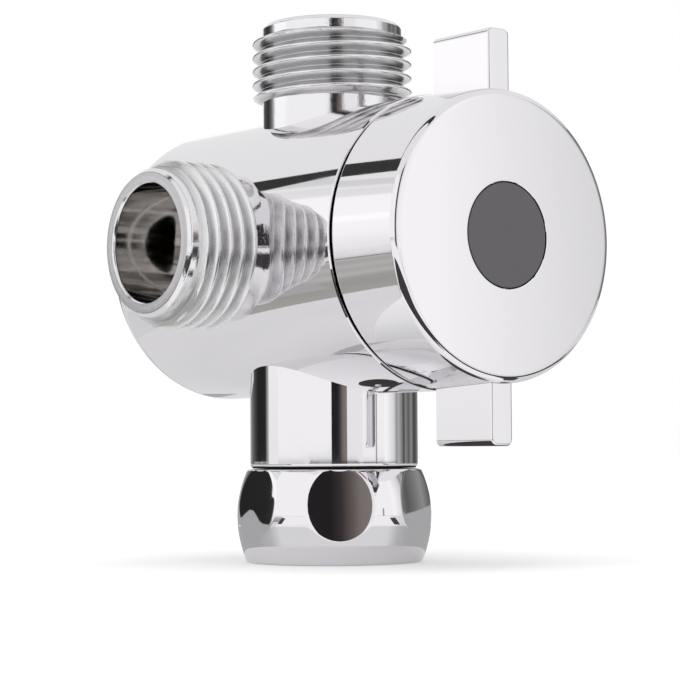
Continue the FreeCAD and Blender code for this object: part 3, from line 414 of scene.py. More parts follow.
top_outlet, top_surfaces = outlet(OUTLET_RISE, UPRIGHT)
side_outlet, side_surfaces = outlet(OUTLET_REACH, SIDE_WAY)
top_bore, top_bore_surfaces = outlet_bore(OUTLET_RISE, UPRIGHT)
side_bore, side_bore_surfaces = outlet_bore(OUTLET_REACH, SIDE_WAY)
chamber, chamber_surfaces = turned([
    (0, WELL_BACK), (WATERWAY_RADIUS, WELL_BACK), (WATERWAY_RADIUS, CHAMBER_BACK),
    (CHAMBER_RADIUS, CHAMBER_BACK), (CHAMBER_RADIUS, CHAMBER_RADIUS),
    (GLAND_BORE_RADIUS, CHAMBER_RADIUS), (GLAND_BORE_RADIUS, BARREL_FRONT + 1),
    (0, BARREL_FRONT + 1),
], 240, KNOB_WAY, finish=BRASS_FINISH)
bush_seat = NECK_DROP - NECK_BORE_DEPTH
passage, passage_surfaces = turned([
    (0, 5), (WATERWAY_RADIUS, 5), (WATERWAY_RADIUS, bush_seat), (NECK_BORE_RADIUS, bush_seat),
    (NECK_BORE_RADIUS, NECK_DROP + 1), (0, NECK_DROP + 1),
], 240, DOWNWARD, finish=BRASS_FINISH)


def outlet_thread(reach, place):
    """The thread cut on an outlet, between the neck of the outlet and its plain lead."""
    near = reach - LEAD_LENGTH - THREAD_LENGTH
    far = reach - LEAD_LENGTH
    steep = (CREST_RADIUS - LEAD_RADIUS) / THREAD_FADE

    def limit(height):
        inset = min(height - near, far - height)
        return min(CREST_RADIUS + 1, max(LEAD_RADIUS - 0.06, LEAD_RADIUS + inset * steep))

    return thread(place, near - 0.1, far + 0.1, limit)


def finish_nodes(name, roughness, colour, metallic=1.0):
    """A material, its node tree and its object coordinates."""
    material = bpy.data.materials.new(name)
    material.use_nodes = True
    tree = material.node_tree
    inputs = tree.nodes["Principled BSDF"].inputs
    inputs["Base Color"].default_value = (*colour, 1)
    inputs["Metallic"].default_value = metallic
    inputs["Roughness"].default_value = roughness
    return material, tree, tree.nodes.new("ShaderNodeTexCoord").outputs["Object"]


def shader_takes(tree, label, output):
    """Links an output to an input of the material's shader."""
    tree.links.new(output, tree.nodes["Principled BSDF"].inputs[label])


def effect(name, numbers, results):
    """An empty shader node group with a vector, numbers with their defaults, and results."""
    group = bpy.data.node_groups.new(name, "ShaderNodeTree")
    group.interface.new_socket("Vector", in_out="INPUT", socket_type="NodeSocketVector")
    for label, number in numbers:
        socket = group.interface.new_socket(label, in_out="INPUT", socket_type="NodeSocketFloat")
        socket.default_value = number
    for label in results:
        group.interface.new_socket(label, in_out="OUTPUT", socket_type="NodeSocketFloat")
    entry = group.nodes.new("NodeGroupInput")
    leave = group.nodes.new("NodeGroupOutput")
    return group, entry.outputs, leave.inputs


def fed(tree, socket, given):
    """Sets a socket to a number, or links an output to it."""
    if isinstance(given, (int, float)):
        socket.default_value = given
    else:
        tree.links.new(given, socket)


def noise(tree, vector, scale, detail=2.0, roughness=0.5):
    """A noise texture over a vector, in a material's or an effect's tree."""
    node = tree.nodes.new("ShaderNodeTexNoise")
    labels = ("Vector", "Scale", "Detail", "Roughness")
    for label, given in zip(labels, (vector, scale, detail, roughness)):
        fed(tree, node.inputs[label], given)
    return node.outputs["Fac"]


def worked(tree, operation, *values):
    """A Math node over numbers and outputs."""
    node = tree.nodes.new("ShaderNodeMath")
    node.operation = operation
    for number, given in enumerate(values):
        fed(tree, node.inputs[number], given)
    return node.outputs[0]


def ranged(tree, given, low, high, to_low, to_high):
    """A Map Range node over an output."""
    node = tree.nodes.new("ShaderNodeMapRange")
    labels = ("Value", "From Min", "From Max", "To Min", "To Max")
    for label, number in zip(labels, (given, low, high, to_low, to_high)):
        fed(tree, node.inputs[label], number)
    return node.outputs["Result"]


def parted(tree, vector):
    """A vector's X, Y and Z."""
    split = tree.nodes.new("ShaderNodeSeparateXYZ")
    tree.links.new(vector, split.inputs[0])
    return split.outputs


def reach_of(tree, parts):
    """The distance from the Z axis, from a vector's parts."""
    squares = [worked(tree, "MULTIPLY", parts[axis], parts[axis]) for axis in "XY"]
    return worked(tree, "SQRT", worked(tree, "ADD", *squares))


# Tool lines: fine rings about the piece's own axis, which is the vector's Z
tool_lines, given, results = effect(
    "tool_lines", [("Lines", 4200.0), ("Low", 0.15), ("High", 0.3)], ["Height", "Roughness"],
)
parts = parted(tool_lines, given["Vector"])
ringed = tool_lines.nodes.new("ShaderNodeCombineXYZ")
tool_lines.links.new(reach_of(tool_lines, parts), ringed.inputs["X"])
tool_lines.links.new(parts["Z"], ringed.inputs["Y"])
lines = noise(tool_lines, ringed.outputs[0], given["Lines"], roughness=0.6)
tool_lines.links.new(lines, results["Height"])
tool_lines.links.new(
    ranged(tool_lines, lines, 0.3, 0.7, given["Low"], given["High"]), results["Roughness"]
)

# Specks: small dark pits and dust
specks, given, results = effect("specks", [("Scale", 900.0), ("Amount", 0.3)], ["Mask"])
cells = specks.nodes.new("ShaderNodeTexVoronoi")
specks.links.new(given["Vector"], cells.inputs["Vector"])
specks.links.new(given["Scale"], cells.inputs["Scale"])
spot = ranged(specks, cells.outputs["Distance"], 0.0, 0.28, 1.0, 0.0)
patches = ranged(specks, noise(specks, given["Vector"], 420.0, detail=3.0), 0.5, 0.62, 0.0, 1.0)
dots = worked(specks, "MULTIPLY", spot, patches)
specks.links.new(worked(specks, "MULTIPLY", dots, given["Amount"]), results["Mask"])


def with_effect(tree, group, vector, **numbers):
    """An effect's group in a material, with its own numbers."""
    node = tree.nodes.new("ShaderNodeGroup")
    node.node_tree = group
    tree.links.new(vector, node.inputs["Vector"])
    for label, number in numbers.items():
        node.inputs[label].default_value = number
    return node.outputs


def bumped(tree, height, depth):
    """Height over the surface as a bump of so many metres."""
    bump = tree.nodes.new("ShaderNodeBump")
    bump.inputs["Strength"].default_value = 1.0
    bump.inputs["Distance"].default_value = depth
    tree.links.new(height, bump.inputs["Height"])
    shader_takes(tree, "Normal", bump.outputs["Normal"])


def tinted(tree, mask, plain, marked):
    """The shader's colour, from a plain to a marked one by a mask. Either may be an output."""
    mix = tree.nodes.new("ShaderNodeMix")
    mix.data_type = "RGBA"
    tree.links.new(mask, mix.inputs["Factor"])
    for label, colour in (("A", plain), ("B", marked)):
        if isinstance(colour, tuple):
            mix.inputs[label].default_value = (*colour, 1)
        else:
            tree.links.new(colour, mix.inputs[label])
    shader_takes(tree, "Base Color", mix.outputs["Result"])
    return mix.outputs["Result"]


def about(tree, vector, shift, turn):
    """Object coordinates with an axis of the piece, at a shift and a turn, brought to Z."""
    mapping = tree.nodes.new("ShaderNodeMapping")
    mapping.vector_type = "TEXTURE"
    mapping.inputs["Location"].default_value = shift
    mapping.inputs["Rotation"].default_value = [math.radians(angle) for angle in turn]
    tree.links.new(vector, mapping.inputs["Vector"])
    return mapping.outputs["Vector"]


def lathe_lines(tree, vector, lines, low, high, depth):
    """Gives a material the gloss and the relief of tool lines about its Z axis."""
    cut = with_effect(tree, tool_lines, vector, Lines=lines, Low=low, High=high)
    shader_takes(tree, "Roughness", cut["Roughness"])
    bumped(tree, cut["Height"], depth)


TOP_AXIS = ((0, 0, 0), (0, 0, 0))
SIDE_AXIS = ((0, 0, AXIS_HEIGHT / 1000), (0, -90, 0))
SATIN = (0.9, 0.893, 0.905)

# Polished chrome over buffed brass: slow waves from the wheel, and a faint haze in patches
chrome_plate, tree, vector = finish_nodes("chrome_plate", 0.04, (0.862, 0.846, 0.87))
haze = noise(tree, vector, 260.0, detail=4.0)
shader_takes(tree, "Roughness", ranged(tree, haze, 0.35, 0.75, 0.025, 0.06))
bumped(tree, noise(tree, vector, 75.0, detail=1.0), 6e-6)

# Bores keep the cutter's faint rings under thin plating, and look a little warmer and darker
bore_plate, tree, vector = finish_nodes("bore_plate", 0.05, (0.68, 0.645, 0.62))
side_axis = about(tree, vector, *SIDE_AXIS)
stretched = tree.nodes.new("ShaderNodeMapping")
stretched.inputs["Scale"].default_value = (1, 1, 0.06)
tree.links.new(side_axis, stretched.inputs["Vector"])
streaks = ranged(tree, noise(tree, stretched.outputs["Vector"], 800.0), 0.3, 0.7, 0.0, 1.0)
shader_takes(tree, "Roughness", ranged(tree, streaks, 0.0, 1.0, 0.06, 0.12))
tinted(tree, streaks, (0.58, 0.565, 0.555), (0.78, 0.763, 0.752))
bumped(tree, with_effect(tree, tool_lines, side_axis, Lines=2600.0)["Height"], 8e-7)

# Raw brass inside, turned and never plated
bare_brass, tree, vector = finish_nodes("bare_brass", 0.3, (0.72, 0.52, 0.26))
tinted(tree, noise(tree, vector, 180.0, 4.0), (0.76, 0.56, 0.28), (0.62, 0.43, 0.2))
lathe_lines(tree, vector, 2600.0, 0.2, 0.42, 8e-6)


# Threads and rims are plated as cut, so they are satin with a grain that breaks up reflections
def cut_plate(name, axis, colour, low, high, grain_depth, line_depth, spots, root_shade=None):
    """Chrome over a cut surface, with lines about an axis, grain and dark pits.

    With a root colour, a thread's roots are painted darker than its crests: painted shade in the
    valleys.
    """
    material, tree, vector = finish_nodes(name, low, colour)
    own = about(tree, vector, *axis)
    cut = with_effect(tree, tool_lines, own, Lines=4200.0, Low=low, High=high)
    marks = with_effect(tree, specks, vector, Scale=3000.0, Amount=spots)
    shader_takes(tree, "Roughness", cut["Roughness"])
    pitted = tinted(tree, marks["Mask"], colour, (0.16, 0.155, 0.15))
    # Painted shade: the colour darkens from the crests down to the roots
    if root_shade:
        reach = reach_of(tree, parted(tree, own))
        tinted(tree, ranged(tree, reach, 0.00955, 0.01035, 0.0, 1.0), root_shade, pitted)
    grain = noise(tree, vector, 3400.0, roughness=0.6)
    relief = worked(
        tree, "ADD", worked(tree, "MULTIPLY", grain, grain_depth),
        worked(tree, "MULTIPLY", cut["Height"], line_depth),
    )
    bumped(tree, relief, 1.0)
    return material


thread_plate = cut_plate(
    "thread_plate", TOP_AXIS, SATIN, 0.12, 0.24, 8e-6, 1.0e-5, 0.7, root_shade=(0.54, 0.537, 0.545)
)
side_thread_plate = cut_plate(
    "side_thread_plate", SIDE_AXIS, SATIN, 0.2, 0.36, 1.6e-5, 6e-6, 0.8,
    root_shade=(0.66, 0.655, 0.664),
)
rim_plate = cut_plate(
    "rim_plate", TOP_AXIS, (0.85, 0.837, 0.857), 0.06, 0.14, 1.3e-5, 1.5e-6, 0.3
)
mouth_plate = cut_plate(
    "mouth_plate", SIDE_AXIS, (0.56, 0.55, 0.565), 0.14, 0.26, 1.2e-5, 4e-6, 0.2
)

# A fine pale ring of plating where a bore's wall meets its floor, lighter than the bore: a painted
# highlight
ring_highlight_plate, tree, vector = finish_nodes("ring_highlight_plate", 0.45, (0.95, 0.94, 0.93))
bumped(tree, noise(tree, vector, 2500.0), 4e-6)

# Painted shade: a near-black finish for the crevice between the neck and the nut, and for the
# knob's recess
painted_gap_shade, tree, vector = finish_nodes("painted_gap_shade", 0.5, (0.02, 0.019, 0.02), 0.0)
tinted(tree, noise(tree, vector, 900.0, 3.0), (0.015, 0.015, 0.016), (0.04, 0.038, 0.037))

body_shape = machined(
    barrel, joined=[neck, top_outlet, side_outlet],
    removed=[chamber, passage, top_bore, side_bore],
)
valve_body = as_object("valve_body_plated", joined_shapes(
    (body_shape, CHROME_FINISH),
    (outlet_thread(OUTLET_RISE, UPRIGHT), THREAD_FINISH),
    (outlet_thread(OUTLET_REACH, SIDE_WAY), SIDE_THREAD_FINISH),
))
shaded(valve_body, [
    barrel_surfaces, neck_surfaces, top_surfaces, side_surfaces, top_bore_surfaces,
    side_bore_surfaces, chamber_surfaces, passage_surfaces,
])
repainted(
    valve_body, SIDE_WAY, SIDE_THREAD_FINISH, (LEAD_RADIUS - NEARBY, LEAD_RADIUS + NEARBY),
    (-math.inf, OUTLET_REACH - LEAD_LENGTH - THREAD_LENGTH),
)
# Each bore's floor corner takes the pale ring of the painted highlight; rims and mouth faces take
# their cut finishes
for reach, place in ((OUTLET_RISE, UPRIGHT), (OUTLET_REACH, SIDE_WAY)):
    corner = reach - BORE_DEPTH + 0.31
    rim = reach + NEARBY
    for finish, radii, heights in (
        (RING_HIGHLIGHT_FINISH, (BORE_RADIUS - 0.35, BORE_RADIUS + NEARBY), (corner - 0.4, corner)),
        (RIM_FINISH, (BORE_RADIUS - NEARBY, BORE_RADIUS + 0.5), (reach - 0.4, rim)),
        (MOUTH_FINISH, (BORE_RADIUS + 0.32, LEAD_RADIUS - 0.35), (reach - 0.08, rim)),
    ):
        repainted(valve_body, place, finish, radii, heights)
# The neck's end round the bush is painted near-black: painted shade in the gap over the nut
repainted(
    valve_body, UPRIGHT, GAP_SHADE_FINISH, (NECK_BORE_RADIUS - 0.05, NECK_RADIUS - 0.005),
    (-math.inf, -NECK_DROP + NEARBY),
)
placed(valve_body, [
    chrome_plate, bore_plate, bare_brass, thread_plate, side_thread_plate, rim_plate, ring_highlight_plate,
    painted_gap_shade, mouth_plate,
], "valve_body", "chrome_plate", "valve_body")


# Inlet tailpiece and its sealing ring
# A turned brass bush screwed into the neck, whose flange keeps the swivel nut on. A rubber ring
# in its groove seals it in the neck.
def dress(material, *nodes):
    """Gives carried-over CAD nodes their finish."""
    for name in nodes:
        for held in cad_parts[name].material_slots:
            held.material = material


# Moulded rubber has a fine matt grain and a little bloom
black_rubber, tree, vector = finish_nodes("black_rubber", 0.6, (0.022, 0.022, 0.023), 0.0)
bloom = ranged(tree, noise(tree, vector, 240.0, 4.0), 0.4, 0.7, 0.0, 1.0)
tinted(tree, bloom, (0.022, 0.022, 0.023), (0.045, 0.044, 0.043))
bumped(tree, noise(tree, vector, 3800.0, 3.0), 1.5e-5)

# The bush's brass is painted near-black in a thin band where the gap over the nut shows it: painted
# shade
BUSH_COLOUR = (0.66, 0.47, 0.24)
GAP_SHADE_HEIGHT = 0.01225
bush_brass, tree, vector = finish_nodes("bush_brass", 0.34, BUSH_COLOUR)
bush_gap_shade = worked(tree, "SUBTRACT", parted(tree, vector)["Z"], GAP_SHADE_HEIGHT)
bush_gap_shade = ranged(tree, worked(tree, "ABSOLUTE", bush_gap_shade), 0.0003, 0.0006, 1.0, 0.0)
tinted(tree, bush_gap_shade, BUSH_COLOUR, (0.02, 0.019, 0.018))
lathe_lines(tree, vector, 2600.0, 0.25, 0.45, 8e-6)
dress(bush_brass, "inlet_tailpiece")
dress(black_rubber, "tailpiece_o_ring")


# Swivel nut
# A turned and chromed brass nut that swells at mid-height, with six leaning spanner flats and a
# female pipe thread. It hangs on the tailpiece's flange and turns freely.
NUT_HEIGHT = 12.1
NUT_END_RADIUS = 11.5
NUT_BULGE = 1.2
NUT_BEVEL = 0.2
SWELL_POINTS = 79
NUT_BORE_RADIUS = 10.6
NUT_LIP_RADIUS = 8.4
NUT_LIP_HEIGHT = 10.1
RELIEF_RADIUS = 9.7
FLAT_DISTANCE = 12.15
FLAT_TILT = 5.0
FLAT_FACES = -125.8
FLAT_DOME = 60.0
FLAT_BLEND = 0.06
THREAD_TOP = 6.6
SWELL_FINISH, NUT_GAP_SHADE_FINISH = 1, 2

side_chord = NUT_HEIGHT - 2 * NUT_BEVEL
side_radius = (side_chord ** 2 / 4 + NUT_BULGE ** 2) / (2 * NUT_BULGE)
swell = []
for number in range(SWELL_POINTS):
    height = NUT_BEVEL + side_chord * number / (SWELL_POINTS - 1)
    away = height - NUT_HEIGHT / 2
    swell.append((
        NUT_END_RADIUS + NUT_BULGE - side_radius + math.sqrt(side_radius ** 2 - away ** 2), height
    ))
nut_shape, nut_surfaces = turned([
    (NUT_BORE_RADIUS, 0), (NUT_END_RADIUS - NUT_BEVEL, 0), *swell,
    (NUT_END_RADIUS - NUT_BEVEL, NUT_HEIGHT), (NUT_LIP_RADIUS, NUT_HEIGHT),
    (NUT_LIP_RADIUS, NUT_LIP_HEIGHT), (RELIEF_RADIUS, NUT_LIP_HEIGHT), (RELIEF_RADIUS, THREAD_TOP),
    (NUT_BORE_RADIUS, THREAD_TOP),
], 504, AT_MOUTH, rounds=[
    (1, 0.12, 3), (SWELL_POINTS + 2, 0.12, 3), (SWELL_POINTS + 3, 0.15, 3),
], ring=True)
inner = nut_surfaces["starts"][:, 0] + nut_surfaces["stops"][:, 0] < 2 * NUT_END_RADIUS
for label in ("starts", "stops", "first", "last"):
    nut_surfaces[label] = nut_surfaces[label][inner]
flats = []
for number in range(6):
    angle = math.radians(FLAT_FACES + 60 * number)
    tilt = math.radians(FLAT_TILT)
    way = Vector((
        math.cos(angle) * math.cos(tilt), math.sin(angle) * math.cos(tilt), math.sin(tilt)
    ))
    spot = Vector((
        math.cos(angle) * FLAT_DISTANCE, math.sin(angle) * FLAT_DISTANCE, NUT_HEIGHT / 2
    ))
    flats.append(spot - way * FLAT_DOME)
# Each vertex of the swell comes in to the nearest flat, with a small blend at the flat's edge
for vert in nut_shape.verts:
    reach = math.hypot(vert.co.x, vert.co.y)
    if reach < NUT_END_RADIUS - 0.05:
        continue
    nearest = reach + 1
    for centre in flats:
        lean = (centre.x * vert.co.x + centre.y * vert.co.y) / reach
        if lean > 0:
            continue
        gap = centre.x ** 2 + centre.y ** 2 + (vert.co.z - centre.z) ** 2 - FLAT_DOME ** 2
        nearest = min(nearest, lean + math.sqrt(lean ** 2 - gap))
    share = max(0.0, min(1.0, 0.5 + (nearest - reach) / FLAT_BLEND / 2))
    drawn(vert, nearest + (reach - nearest) * share - FLAT_BLEND * share * (1 - share))
bmesh.ops.recalc_face_normals(nut_shape, faces=nut_shape.faces[:])
nut_thread = thread(
    AT_MOUTH, 0.03, THREAD_TOP + 0.2,
    lambda height: max(ROOT_RADIUS - 1, 10.35 - max(height, 0)), inside=True,
)
swivel_nut = as_object("swivel_nut_plated", joined_shapes(
    (nut_shape, SWELL_FINISH), (nut_thread, THREAD_FINISH),
))
shaded(swivel_nut, [nut_surfaces], own=(SWELL_FINISH, THREAD_FINISH))
# The nut's top face inside its edge is painted near-black: painted shade in the gap under the neck
repainted(
    swivel_nut, AT_MOUTH, NUT_GAP_SHADE_FINISH, (-math.inf, NUT_END_RADIUS - 0.55),
    (NUT_HEIGHT - NEARBY, math.inf),
)
placed(
    swivel_nut, [chrome_plate, chrome_plate, painted_gap_shade, thread_plate], "swivel_nut",
    "chrome_plate", "swivel_nut",
)


# Inlet washer and filter screen
# A flat black rubber ring that the shower arm's end presses on, and a pierced stainless disc
# with a rolled rim that clips in its hole.
WASHER_HOLE_RADIUS = 6.3
WASHER_RADIUS = 9.0
WASHER_LOW = 6.65
WASHER_HIGH = 8.65

washer_shape, washer_surfaces = turned([
    (WASHER_HOLE_RADIUS, WASHER_LOW), (WASHER_RADIUS, WASHER_LOW), (WASHER_RADIUS, WASHER_HIGH),
    (WASHER_HOLE_RADIUS, WASHER_HIGH),
], 144, AT_MOUTH, rounds=[(corner, 0.25, 4) for corner in range(4)], ring=True)
inlet_washer = shaded(as_object("inlet_washer_rubber", washer_shape), [washer_surfaces])
placed(inlet_washer, [black_rubber], "valve_body", "rubber", "inlet_washer")

stainless, tree, vector = finish_nodes("stainless", 0.28, (0.58, 0.57, 0.55))
lathe_lines(tree, vector, 3600.0, 0.2, 0.4, 6e-6)
dress(stainless, "filter_screen")


# Gland, spindle and seal
# The brass gland screws into the barrel's mouth and keeps the brass spindle in. The spindle's cup
# holds a sprung rubber plug against one port, and rubber rings keep the water in.
dress(bare_brass, "gland_nut", "spindle")
dress(black_rubber, "gland_o_ring", "spindle_o_ring_back", "spindle_o_ring_front", "port_seal")
dress(stainless, "port_seal_spring")

white_acetal, tree, vector = finish_nodes("white_acetal", 0.42, (0.78, 0.78, 0.75), 0.0)
tinted(tree, noise(tree, vector, 400.0, 3.0), (0.8, 0.8, 0.77), (0.74, 0.74, 0.71))
bumped(tree, noise(tree, vector, 2800.0), 8e-6)
dress(white_acetal, "thrust_washer")


# Knob
# One chromed casting with two grip wings, hollow behind, on the spindle's square. A boss takes
# the screw, and a rib inside meets the stop pin at each end of the turn.
KNOB_BACK = 22.1
KNOB_EDGE = 33.1
SKIRT_RADIUS = 18.3
EDGE_RADIUS = 17.8
EDGE_ROUND = 0.918
FACE_RADIUS = 16.9
RECESS_RADIUS = 6.5
RECESS_FLOOR = 31.95
WING_TIP = 25.3
WING_ROOT = 15.8
WING_THICKNESS = 3.4
WING_DEPTH = 10.0
CROWN_RISE = 0.25
HOLLOW_RADIUS = 15.5
HOLLOW_FLOOR = 29.6
HEAD_WELL_RADIUS = 3.8
HEAD_SEAT = 29.95
SCREW_HOLE_RADIUS = 2.2
BOSS_RADIUS = 7.5
BOSS_BACK = 25.4
TRACK_RADIUS = 12.2
RIB_HALF = 2.1
RIB_ARC = math.radians(168.9)
SQUARE_HALF = 3.25
SQUARE_DEPTH = 28.3
BALL_POCKET_RADIUS = 1.55
BALL_POCKET_DEPTH = 30.0
RIB_DEPTH = 30.5
RECESS_GAP_SHADE_FINISH = 1

crown_radius = (FACE_RADIUS ** 2 + CROWN_RISE ** 2) / (2 * CROWN_RISE)
lip = CROWN_RISE - RECESS_RADIUS ** 2 / (2 * crown_radius)
shell, shell_surfaces = turned([
    (HOLLOW_RADIUS, KNOB_BACK), (SKIRT_RADIUS - 0.3, KNOB_BACK), (SKIRT_RADIUS, KNOB_BACK + 0.3),
    (EDGE_RADIUS, KNOB_EDGE - 0.9), (FACE_RADIUS, KNOB_EDGE, EDGE_ROUND),
    (RECESS_RADIUS, KNOB_EDGE + lip, crown_radius), (RECESS_RADIUS, RECESS_FLOOR),
    (HEAD_WELL_RADIUS, RECESS_FLOOR), (HEAD_WELL_RADIUS, HEAD_SEAT), (SCREW_HOLE_RADIUS, HEAD_SEAT),
    (SCREW_HOLE_RADIUS, BOSS_BACK), (BOSS_RADIUS, BOSS_BACK), (BOSS_RADIUS, HOLLOW_FLOOR),
    (HOLLOW_RADIUS, HOLLOW_FLOOR),
], 360, KNOB_WAY, rounds=[(5, 0.1, 3), (1, 0.08, 2), (2, 0.12, 3)], ring=True)


def block(low, high):
    """A plain block between two corners in the knob's frame."""
    shape = bmesh.new()
    bmesh.ops.create_cube(shape, size=1)
    low, high = Vector(low), Vector(high)
    size = Matrix.Diagonal((*(high - low), 1))
    return moved(shape, Matrix.Translation((low + high) / 2) @ size)


def softened(shape, edges, offset, segments):
    """Rounds a shape's edges."""
    bmesh.ops.bevel(
        shape, geom=edges, offset=offset, offset_type="OFFSET", segments=segments, profile=0.5,
        affect="EDGES", material=-1,
    )


def wing(side):
    """A grip wing with rounded tip corners and a softened front."""
    half = WING_THICKNESS / 2
    near, far = sorted((side * WING_ROOT, side * WING_TIP))
    shape = block((-half, near, KNOB_BACK), (half, far, KNOB_BACK + WING_DEPTH))
    tips, front = [], []
    for edge in shape.edges:
        start, stop = (vert.co for vert in edge.verts)
        if min(start.y * side, stop.y * side) > WING_TIP - 1e-6 and abs(start.x - stop.x) < 1e-6:
            tips.append(edge)
    softened(shape, tips, 0.8, 8)
    for edge in shape.edges:
        start, stop = (vert.co for vert in edge.verts)
        outside = min(start.y * side, stop.y * side) > WING_ROOT + 0.1
        level = abs(start.z - stop.z) < 1e-6 and start.z > KNOB_BACK + 1
        if level and (outside or abs(start.y - stop.y) > 2) and edge.calc_face_angle(0) > 0.6:
            front.append(edge)
    softened(shape, front, 0.3, 4)
    return moved(shape, KNOB_WAY)


def stop_rib():
    """The arc-shaped rib inside the knob, centred over the detent."""
    shape = bmesh.new()
    low, high = TRACK_RADIUS - RIB_HALF, TRACK_RADIUS + RIB_HALF
    corners = [shape.verts.new(place) for place in (
        (low, 0, BOSS_BACK), (high, 0, BOSS_BACK), (high, 0, RIB_DEPTH), (low, 0, RIB_DEPTH)
    )]
    first = shape.faces.new(corners)
    turn = Matrix.Rotation(math.pi / 2 - RIB_ARC / 2, 3, "Z")
    bmesh.ops.rotate(shape, verts=corners, matrix=turn, cent=(0, 0, 0))
    bmesh.ops.spin(shape, geom=[first], cent=(0, 0, 0), axis=(0, 0, 1), angle=RIB_ARC, steps=96)
    bmesh.ops.recalc_face_normals(shape, faces=shape.faces[:])
    return moved(shape, KNOB_WAY)


socket = moved(
    block((-SQUARE_HALF, -SQUARE_HALF, 24), (SQUARE_HALF, SQUARE_HALF, SQUARE_DEPTH)), KNOB_WAY
)
ball_pocket, pocket_surfaces = turned([
    (0, 24), (BALL_POCKET_RADIUS, 24), (BALL_POCKET_RADIUS, BALL_POCKET_DEPTH),
    (0, BALL_POCKET_DEPTH),
], 48, KNOB_WAY @ Matrix.Translation((0, TRACK_RADIUS, 0)))
knob_shape = machined(shell, joined=[wing(1), wing(-1), stop_rib()], removed=[socket, ball_pocket])
knob = shaded(as_object("knob_plated", joined_shapes((knob_shape, CHROME_FINISH))), [
    shell_surfaces, pocket_surfaces,
])
# The recess's wall round the insert is painted near-black: painted shade in the gap round the
# insert
repainted(
    knob, KNOB_WAY, RECESS_GAP_SHADE_FINISH, (RECESS_RADIUS - 0.03, RECESS_RADIUS + 0.03),
    (RECESS_FLOOR, KNOB_EDGE + lip - 0.06),
)
placed(knob, [chrome_plate, painted_gap_shade], "knob", "chrome_plate", "knob")


# Detent, stop pin and knob screw
# A steel ball on a spring clicks over the gland's dimples, a steel pin pressed into the gland
# limits the turn, and a pan-headed screw holds the knob.
dress(stainless, "detent_ball", "detent_spring", "stop_pin", "knob_screw")


# Insert
# A dark grey moulded disc with a soft sheen, pressed into the recess over the screw.
INSERT_RADIUS = 6.35
insert_front = KNOB_EDGE + lip - 0.02

insert_shape, insert_surfaces = turned([
    (0, RECESS_FLOOR), (INSERT_RADIUS, RECESS_FLOOR), (INSERT_RADIUS, insert_front),
    (0, insert_front),
], 360, KNOB_WAY, rounds=[(2, 0.08, 3)])
dark_plastic, tree, vector = finish_nodes("dark_plastic", 0.38, (0.12, 0.114, 0.122), 0.0)
drift = noise(tree, vector, 150.0, detail=3.0)
tinted(tree, drift, (0.117, 0.111, 0.119), (0.131, 0.125, 0.133))
shader_takes(tree, "Roughness", ranged(tree, drift, 0.3, 0.7, 0.34, 0.42))
bumped(tree, noise(tree, vector, 5200.0), 4e-6)
knob_insert = shaded(as_object("knob_insert_moulded", insert_shape), [insert_surfaces])
placed(knob_insert, [dark_plastic], "knob", "grey_plastic", "knob_insert")


# Floor and studio
# A pale floor and a white room, with a broad soft box overhead. Grey and black cards stand where
# only the chrome sees them, as a photographer flags a bright metal object.
def emission(name, strength, colour=(1, 1, 1)):
    """A card's material that shines evenly."""
    material = bpy.data.materials.new(name)
    material.use_nodes = True
    tree = material.node_tree
    tree.nodes.clear()
    light = tree.nodes.new("ShaderNodeEmission")
    light.inputs["Color"].default_value = (*colour, 1)
    light.inputs["Strength"].default_value = strength
    out = tree.nodes.new("ShaderNodeOutputMaterial")
    tree.links.new(light.outputs[0], out.inputs["Surface"])
    return material


def studio_card(name, shape, material):
    """A card that only reflections see."""
    card = as_object(name, shape)
    card.data.materials.append(material)
    card.visible_camera = False
    card.visible_diffuse = False
    card.visible_shadow = False
    card.visible_transmission = False
    card.visible_volume_scatter = False
    return card


def swept(first, last, corners):
    """An edge between two (distance, height) corners, swept round Z between two bearings.

    A bearing is in degrees, 0 behind the object at +Y and 90 on its right at +X.
    """
    shape = bmesh.new()
    ends = [shape.verts.new((0, distance, height)) for distance, height in corners]
    edge = shape.edges.new(ends)
    turn = Matrix.Rotation(math.radians(-first), 3, "Z")
    bmesh.ops.rotate(shape, verts=ends, matrix=turn, cent=(0, 0, 0))
    bmesh.ops.spin(
        shape, geom=ends + [edge], cent=(0, 0, 0), axis=(0, 0, 1),
        angle=-math.radians(last - first), steps=max(4, round(abs(last - first) / 2)),
    )
    return shape


def curved_card(name, first, last, low, high, distance, material):
    """An upright card round the object, between two bearings and two heights, in metres."""
    return studio_card(name, swept(first, last, [(distance, low), (distance, high)]), material)


def bearing_of(vert):
    """A vertex's bearing, in degrees."""
    return math.degrees(math.atan2(vert.co.x, vert.co.y))


def ramped(name, stops, along="bearing"):
    """A card's material whose brightness changes, from (place, grey) stops.

    A place is a bearing, a height or a reach from the Z axis, and a grey a number or a colour.
    """
    material = emission(name, 1.0)
    tree = material.node_tree
    place = tree.nodes.new("ShaderNodeTexCoord")
    parts = parted(tree, place.outputs["Object"])
    if along == "height":
        measure = parts["Z"]
    elif along == "reach":
        measure = reach_of(tree, parts)
    else:
        angle = worked(tree, "ARCTAN2", parts["X"], parts["Y"])
        measure = worked(tree, "MULTIPLY", angle, 180 / math.pi)
    first, last = stops[0][0], stops[-1][0]
    ramp = tree.nodes.new("ShaderNodeValToRGB")
    tree.links.new(ranged(tree, measure, first, last, 0.0, 1.0), ramp.inputs["Fac"])
    while len(ramp.color_ramp.elements) < len(stops):
        ramp.color_ramp.elements.new(0.5)
    for element, (spot, grey) in zip(ramp.color_ramp.elements, stops):
        element.position = (spot - first) / (last - first)
        element.color = (*grey, 1) if isinstance(grey, tuple) else (grey, grey, grey, 1)
    tree.links.new(ramp.outputs["Color"], tree.nodes["Emission"].inputs["Color"])
    return material


